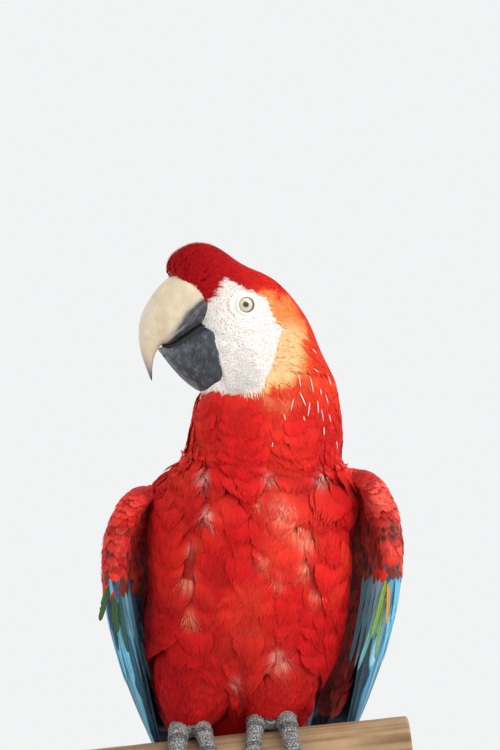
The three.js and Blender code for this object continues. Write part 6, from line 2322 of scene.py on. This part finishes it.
def flight_feathers(name):
    rng = np.random.default_rng(41 if name == "left" else 42)
    vs = []
    n = 21
    uu, rr = wing_round(name, 0.34)
    r_lo, r_hi = np.interp(-1.15, uu, rr), np.interp(2.9, uu, rr)
    for i in range(n):
        q = i / (n - 1)
        u0 = float(np.interp(lerp(r_lo, r_hi, q), rr, uu))
        prim = i < 12
        s0 = (1 - math.cos(max(u0, 0.25))) / 2
        s1 = lerp(0.18, 0.80, q)
        t0 = 0.27 + 0.03 * q
        t1 = (0.975 - 0.03 * abs(i - 4) / 3 - 0.010 * i) if prim else lerp(0.84, 0.60, (i - 12) / 8)
        w0 = lerp(7.0, 11.5, q)
        order = -0.9 + 0.17 * i

        def surf(a, y, lift, s0=s0, s1=s1, t0=t0, t1=t1, u0=u0, order=order):
            t = lerp(t0, t1, a)
            wrapped = wing_at(name, wing_walk(name, np.full_like(t, u0), t, y), t, 0.86, lift)
            cl = np.linalg.norm(along(TRAIL, t) - along(LEAD, t), axis=-1)
            s = lerp(s0, s1, smooth(0.1, 1.0, a)) + y / np.maximum(cl, 20)
            s_in = np.clip(s, 0.004, 0.996)
            u = np.arccos(1 - 2 * s_in)
            flat = wing_at(name, u, t, 0.25 * np.ones_like(t), lift + order + 0.04 * y)
            ch = unit(along(TRAIL, t) - along(LEAD, t)) * np.array([WING_SET[name][0], 1, 1])
            flat = flat + ch * ((s - s_in) * np.maximum(cl, 20))[..., None]
            w = smooth(0.40, 0.72, t)[..., None]
            return wrapped * (1 - w) + flat * w

        def half(a, w0=w0, prim=prim):
            end = np.clip((1 - a) / (0.16 if prim else 0.10), 0, 1)
            return w0 * (0.4 + 0.6 * smooth(0, 0.12, a)) * (1 - (0.34 if prim else 0.1) * a) * np.sqrt(1 - (1 - end) ** 2 * 0.985)
        P, A, B, F = long_vane(surf, half, 64, rng, thick=0.55, notch=7 if prim else 4, camber=0.4)
        bright = mix(SKY, AZURE, np.clip(rng.random() * 0.8 + (0.1 if prim else 0.0), 0, 1))
        if i % 3 == 1:
            bright = mix(bright, NAVY, 0.6)
        if i in (13, 15, 18):
            bright = mix(bright, GREEN, 0.6)
        fade = smooth(0.35, 0.95, A)
        under = mix(srgb(40, 70, 96), srgb(16, 24, 40), smooth(0.22, 0.55, A))
        col = vane_colour(A, B, F, bright, mix(AZURE, NAVY, 0.75), under, srgb(18, 24, 40), rng, edge=NAVY * 0.5,
                          tip_at=0.80 if prim else 0.93)
        # a dark inner web and a bright strip along the outer edge, darker towards the tips
        strip = smooth(0.05, -0.25, B) * smooth(-1.02, -0.8, B)
        col = mix(mix(col, srgb(14, 22, 36), 0.75 * smooth(0.25, 0.7, A)), bright * (1 - 0.35 * fade)[..., None], 0.85 * strip * (F > 0))
        vs.append((P, col, A, B))
    # green and yellow feathers that stand off the outer edge
    sx = WING_SET[name][0]
    # on the right wing, the shaded side, they are darkened copies of the green: painted shade
    loose = ([((-88.6, -30, 91.7), (-87, -28, 62), 2.5, GREEN * 0.42), ((-91.6, -27.3, 93.7), (-98, -28, 70), 2.3, GREEN * 0.5),
              ((-86.6, -31.8, 91.2), (-80, -24, 50), 1.9, srgb(44, 96, 84))] if sx < 0 else
             [((85.2, -31.4, 100.2), (74, -28, 58), 1.7, srgb(150, 186, 84)), ((85.6, -30.8, 97.5), (84, -29, 67), 1.4, srgb(246, 180, 80)),
              ((83.8, -29.9, 96.5), (66, -22, 39), 1.7, srgb(124, 196, 196)), ((83.5, -27.6, 87.6), (77, -24, 46), 1.4, srgb(140, 190, 110))])
    for root, end, w0, cc in loose:
        root, end = np.array(root, float), np.array(end, float)
        dd = unit(end - root)
        nn = unit(np.array([0.35 * sx, -1, 0.1]) - dd * (np.array([0.35 * sx, -1, 0.1]) @ dd))
        sd = np.cross(nn, dd)
        ln = float(np.linalg.norm(end - root))

        def surf(a, y, lift, root=root, dd=dd, nn=nn, sd=sd, ln=ln):
            return root + dd * (a * ln)[..., None] + sd * (y + 2.0 * sx * a * (1 - a))[..., None] + nn * (lift + 2.0 * a * (1 - a))[..., None]

        def half(a, w0=w0):
            return w0 * (0.35 + 0.65 * smooth(0, 0.3, a)) * np.sqrt(1 - np.clip((a - 0.62) / 0.38, 0, 1) ** 2 * 0.985)
        P, A, B, F = long_vane(surf, half, 30, rng, thick=0.5, notch=3, camber=0.5)
        col = vane_colour(A, B, F, cc, cc * 0.75, cc * 0.6, cc * 0.6, rng, edge=NAVY, tip_at=0.95)
        vs.append((P, col, A, B))
    long_piece("flight_%s" % name, vs, M_FLIGHT, ["wing_%s_flight" % name])


for _name in WING_SET:
    flight_feathers(_name)

TAIL_ROOT = np.array([BODY_X, 64, -12.0])
TAIL_DIR = np.array([0, math.sin(TAIL_LEAN), -math.cos(TAIL_LEAN)])
TAIL_BACK = np.array([0, math.cos(TAIL_LEAN), math.sin(TAIL_LEAN)])
TAIL_PAIRS, TAIL_HALF = [0.42, 0.53, 0.65, 0.77, 0.89, 1.0], [33, 30, 26, 22, 18, 13]


def tail_feathers():
    rng = np.random.default_rng(51)
    vs = []
    for i in range(6):
        for sd in (-1, 1):
            w0 = [10.5, 11, 11, 11, 11, 11.5][i]
            end = TAIL_PAIRS[i] - (0.012 if sd < 0 else 0)
            off = (TAIL_HALF[i] - w0 + 0.5) if i < 5 else 2.6
            lay = -1.6 + 0.55 * i + (0.25 if sd > 0 else 0)

            def surf(a, y, lift, end=end, off=off, sd=sd, lay=lay):
                s = a * end
                o = TAIL_ROOT + TAIL_DIR * (s * TAIL_LENGTH)[..., None] + TAIL_BACK * (-7 * np.sin(s * math.pi))[..., None]
                x = sd * off * smooth(-0.15, 0.45, s / np.maximum(end, 0.01)) + y
                tent = -0.3 * np.abs(x) - 0.004 * x * x
                return o + np.array([1.0, 0, 0]) * x[..., None] + TAIL_BACK * (tent + lift + lay)[..., None]

            def half(a, w0=w0):
                e = np.clip((1 - a) / 0.13, 0, 1)
                return w0 * (0.4 + 0.6 * smooth(0, 0.12, a)) * (1 - 0.28 * smooth(0.3, 1, a)) * np.sqrt(1 - (1 - e) ** 2 * 0.99)
            P, A, B, F = long_vane(surf, half, 90, rng, thick=0.6, notch=8, camber=0.45, quill=0.6)
            red = srgb(190, 20, 26)
            if i < 2:
                outer, inner, tipc, at = AZURE, mix(AZURE, NAVY, 0.4), SKY, 0.8
            elif i < 4:
                outer, inner, tipc, at = red, mix(red, AZURE, 0.5), AZURE, 0.74
            else:
                outer, inner, tipc, at = red, red, srgb(120, 40, 70), 0.95
            if sd > 0:
                outer, inner = inner, outer
            col = vane_colour(A, B, F, outer, inner, srgb(168, 44, 34), tipc, rng, tip_at=at)
            vs.append((P, col, A, B))
    long_piece("tail_feathers", vs, M_FLIGHT, ["tail"])


tail_feathers()
tick("flight and tail")


# ------------------------------------------------------------------ floor, light and camera
bpy.ops.mesh.primitive_plane_add(size=1)
_floor_ob = bpy.context.object
_floor_ob.name = "floor"
_floor_ob.scale = (9, 9, 1)
_floor_ob.location = (0, 0, 0)
_floor_ob.data.materials.append(material("floor_paper", colour=(0.80, 0.80, 0.79), rough=0.8, spec=0.2))

_w = bpy.data.worlds.new("studio")
bpy.context.scene.world = _w
_w.use_nodes = True
_bg = _w.node_tree.nodes["Background"]
_bg.inputs[0].default_value = (0.955, 0.965, 0.97, 1)
_bg.inputs[1].default_value = 0.93


def area(name, at, to, size, power, colour=(1, 1, 1)):
    l = bpy.data.lights.new(name, "AREA")
    l.shape = "RECTANGLE"
    l.size, l.size_y = size
    l.energy = power
    l.color = colour
    o = bpy.data.objects.new(name, l)
    o.location = at
    d = Vector(to) - Vector(at)
    o.rotation_euler = d.to_track_quat("-Z", "Y").to_euler()
    o.visible_camera = False
    bpy.context.scene.collection.objects.link(o)
    return o


area("key", (1.25, -1.55, 2.1), (0, 0, 0.68), (2.0, 2.0), 35, (1, 0.985, 0.96))
area("fill", (1.7, -1.2, 1.2), (0, 0, 0.65), (1.5, 1.5), 7, (0.95, 0.97, 1))
area("back", (0.6, 1.9, 1.9), (0, 0, 0.7), (1.2, 1.2), 14, (1, 1, 1))

_cam = bpy.data.cameras.new("camera")
_cam.sensor_width = 36
_cam.lens = 109.09
_cam.clip_start, _cam.clip_end = 0.05, 50
_co = bpy.data.objects.new("camera", _cam)
_co.location = (0.0125, -1.4772, 0.4590)
_co.rotation_euler = (rad(100), 0, 0)
bpy.context.scene.collection.objects.link(_co)
bpy.context.scene.camera = _co
bpy.context.scene.view_settings.view_transform = "Standard"
bpy.context.scene.view_settings.look = "None"
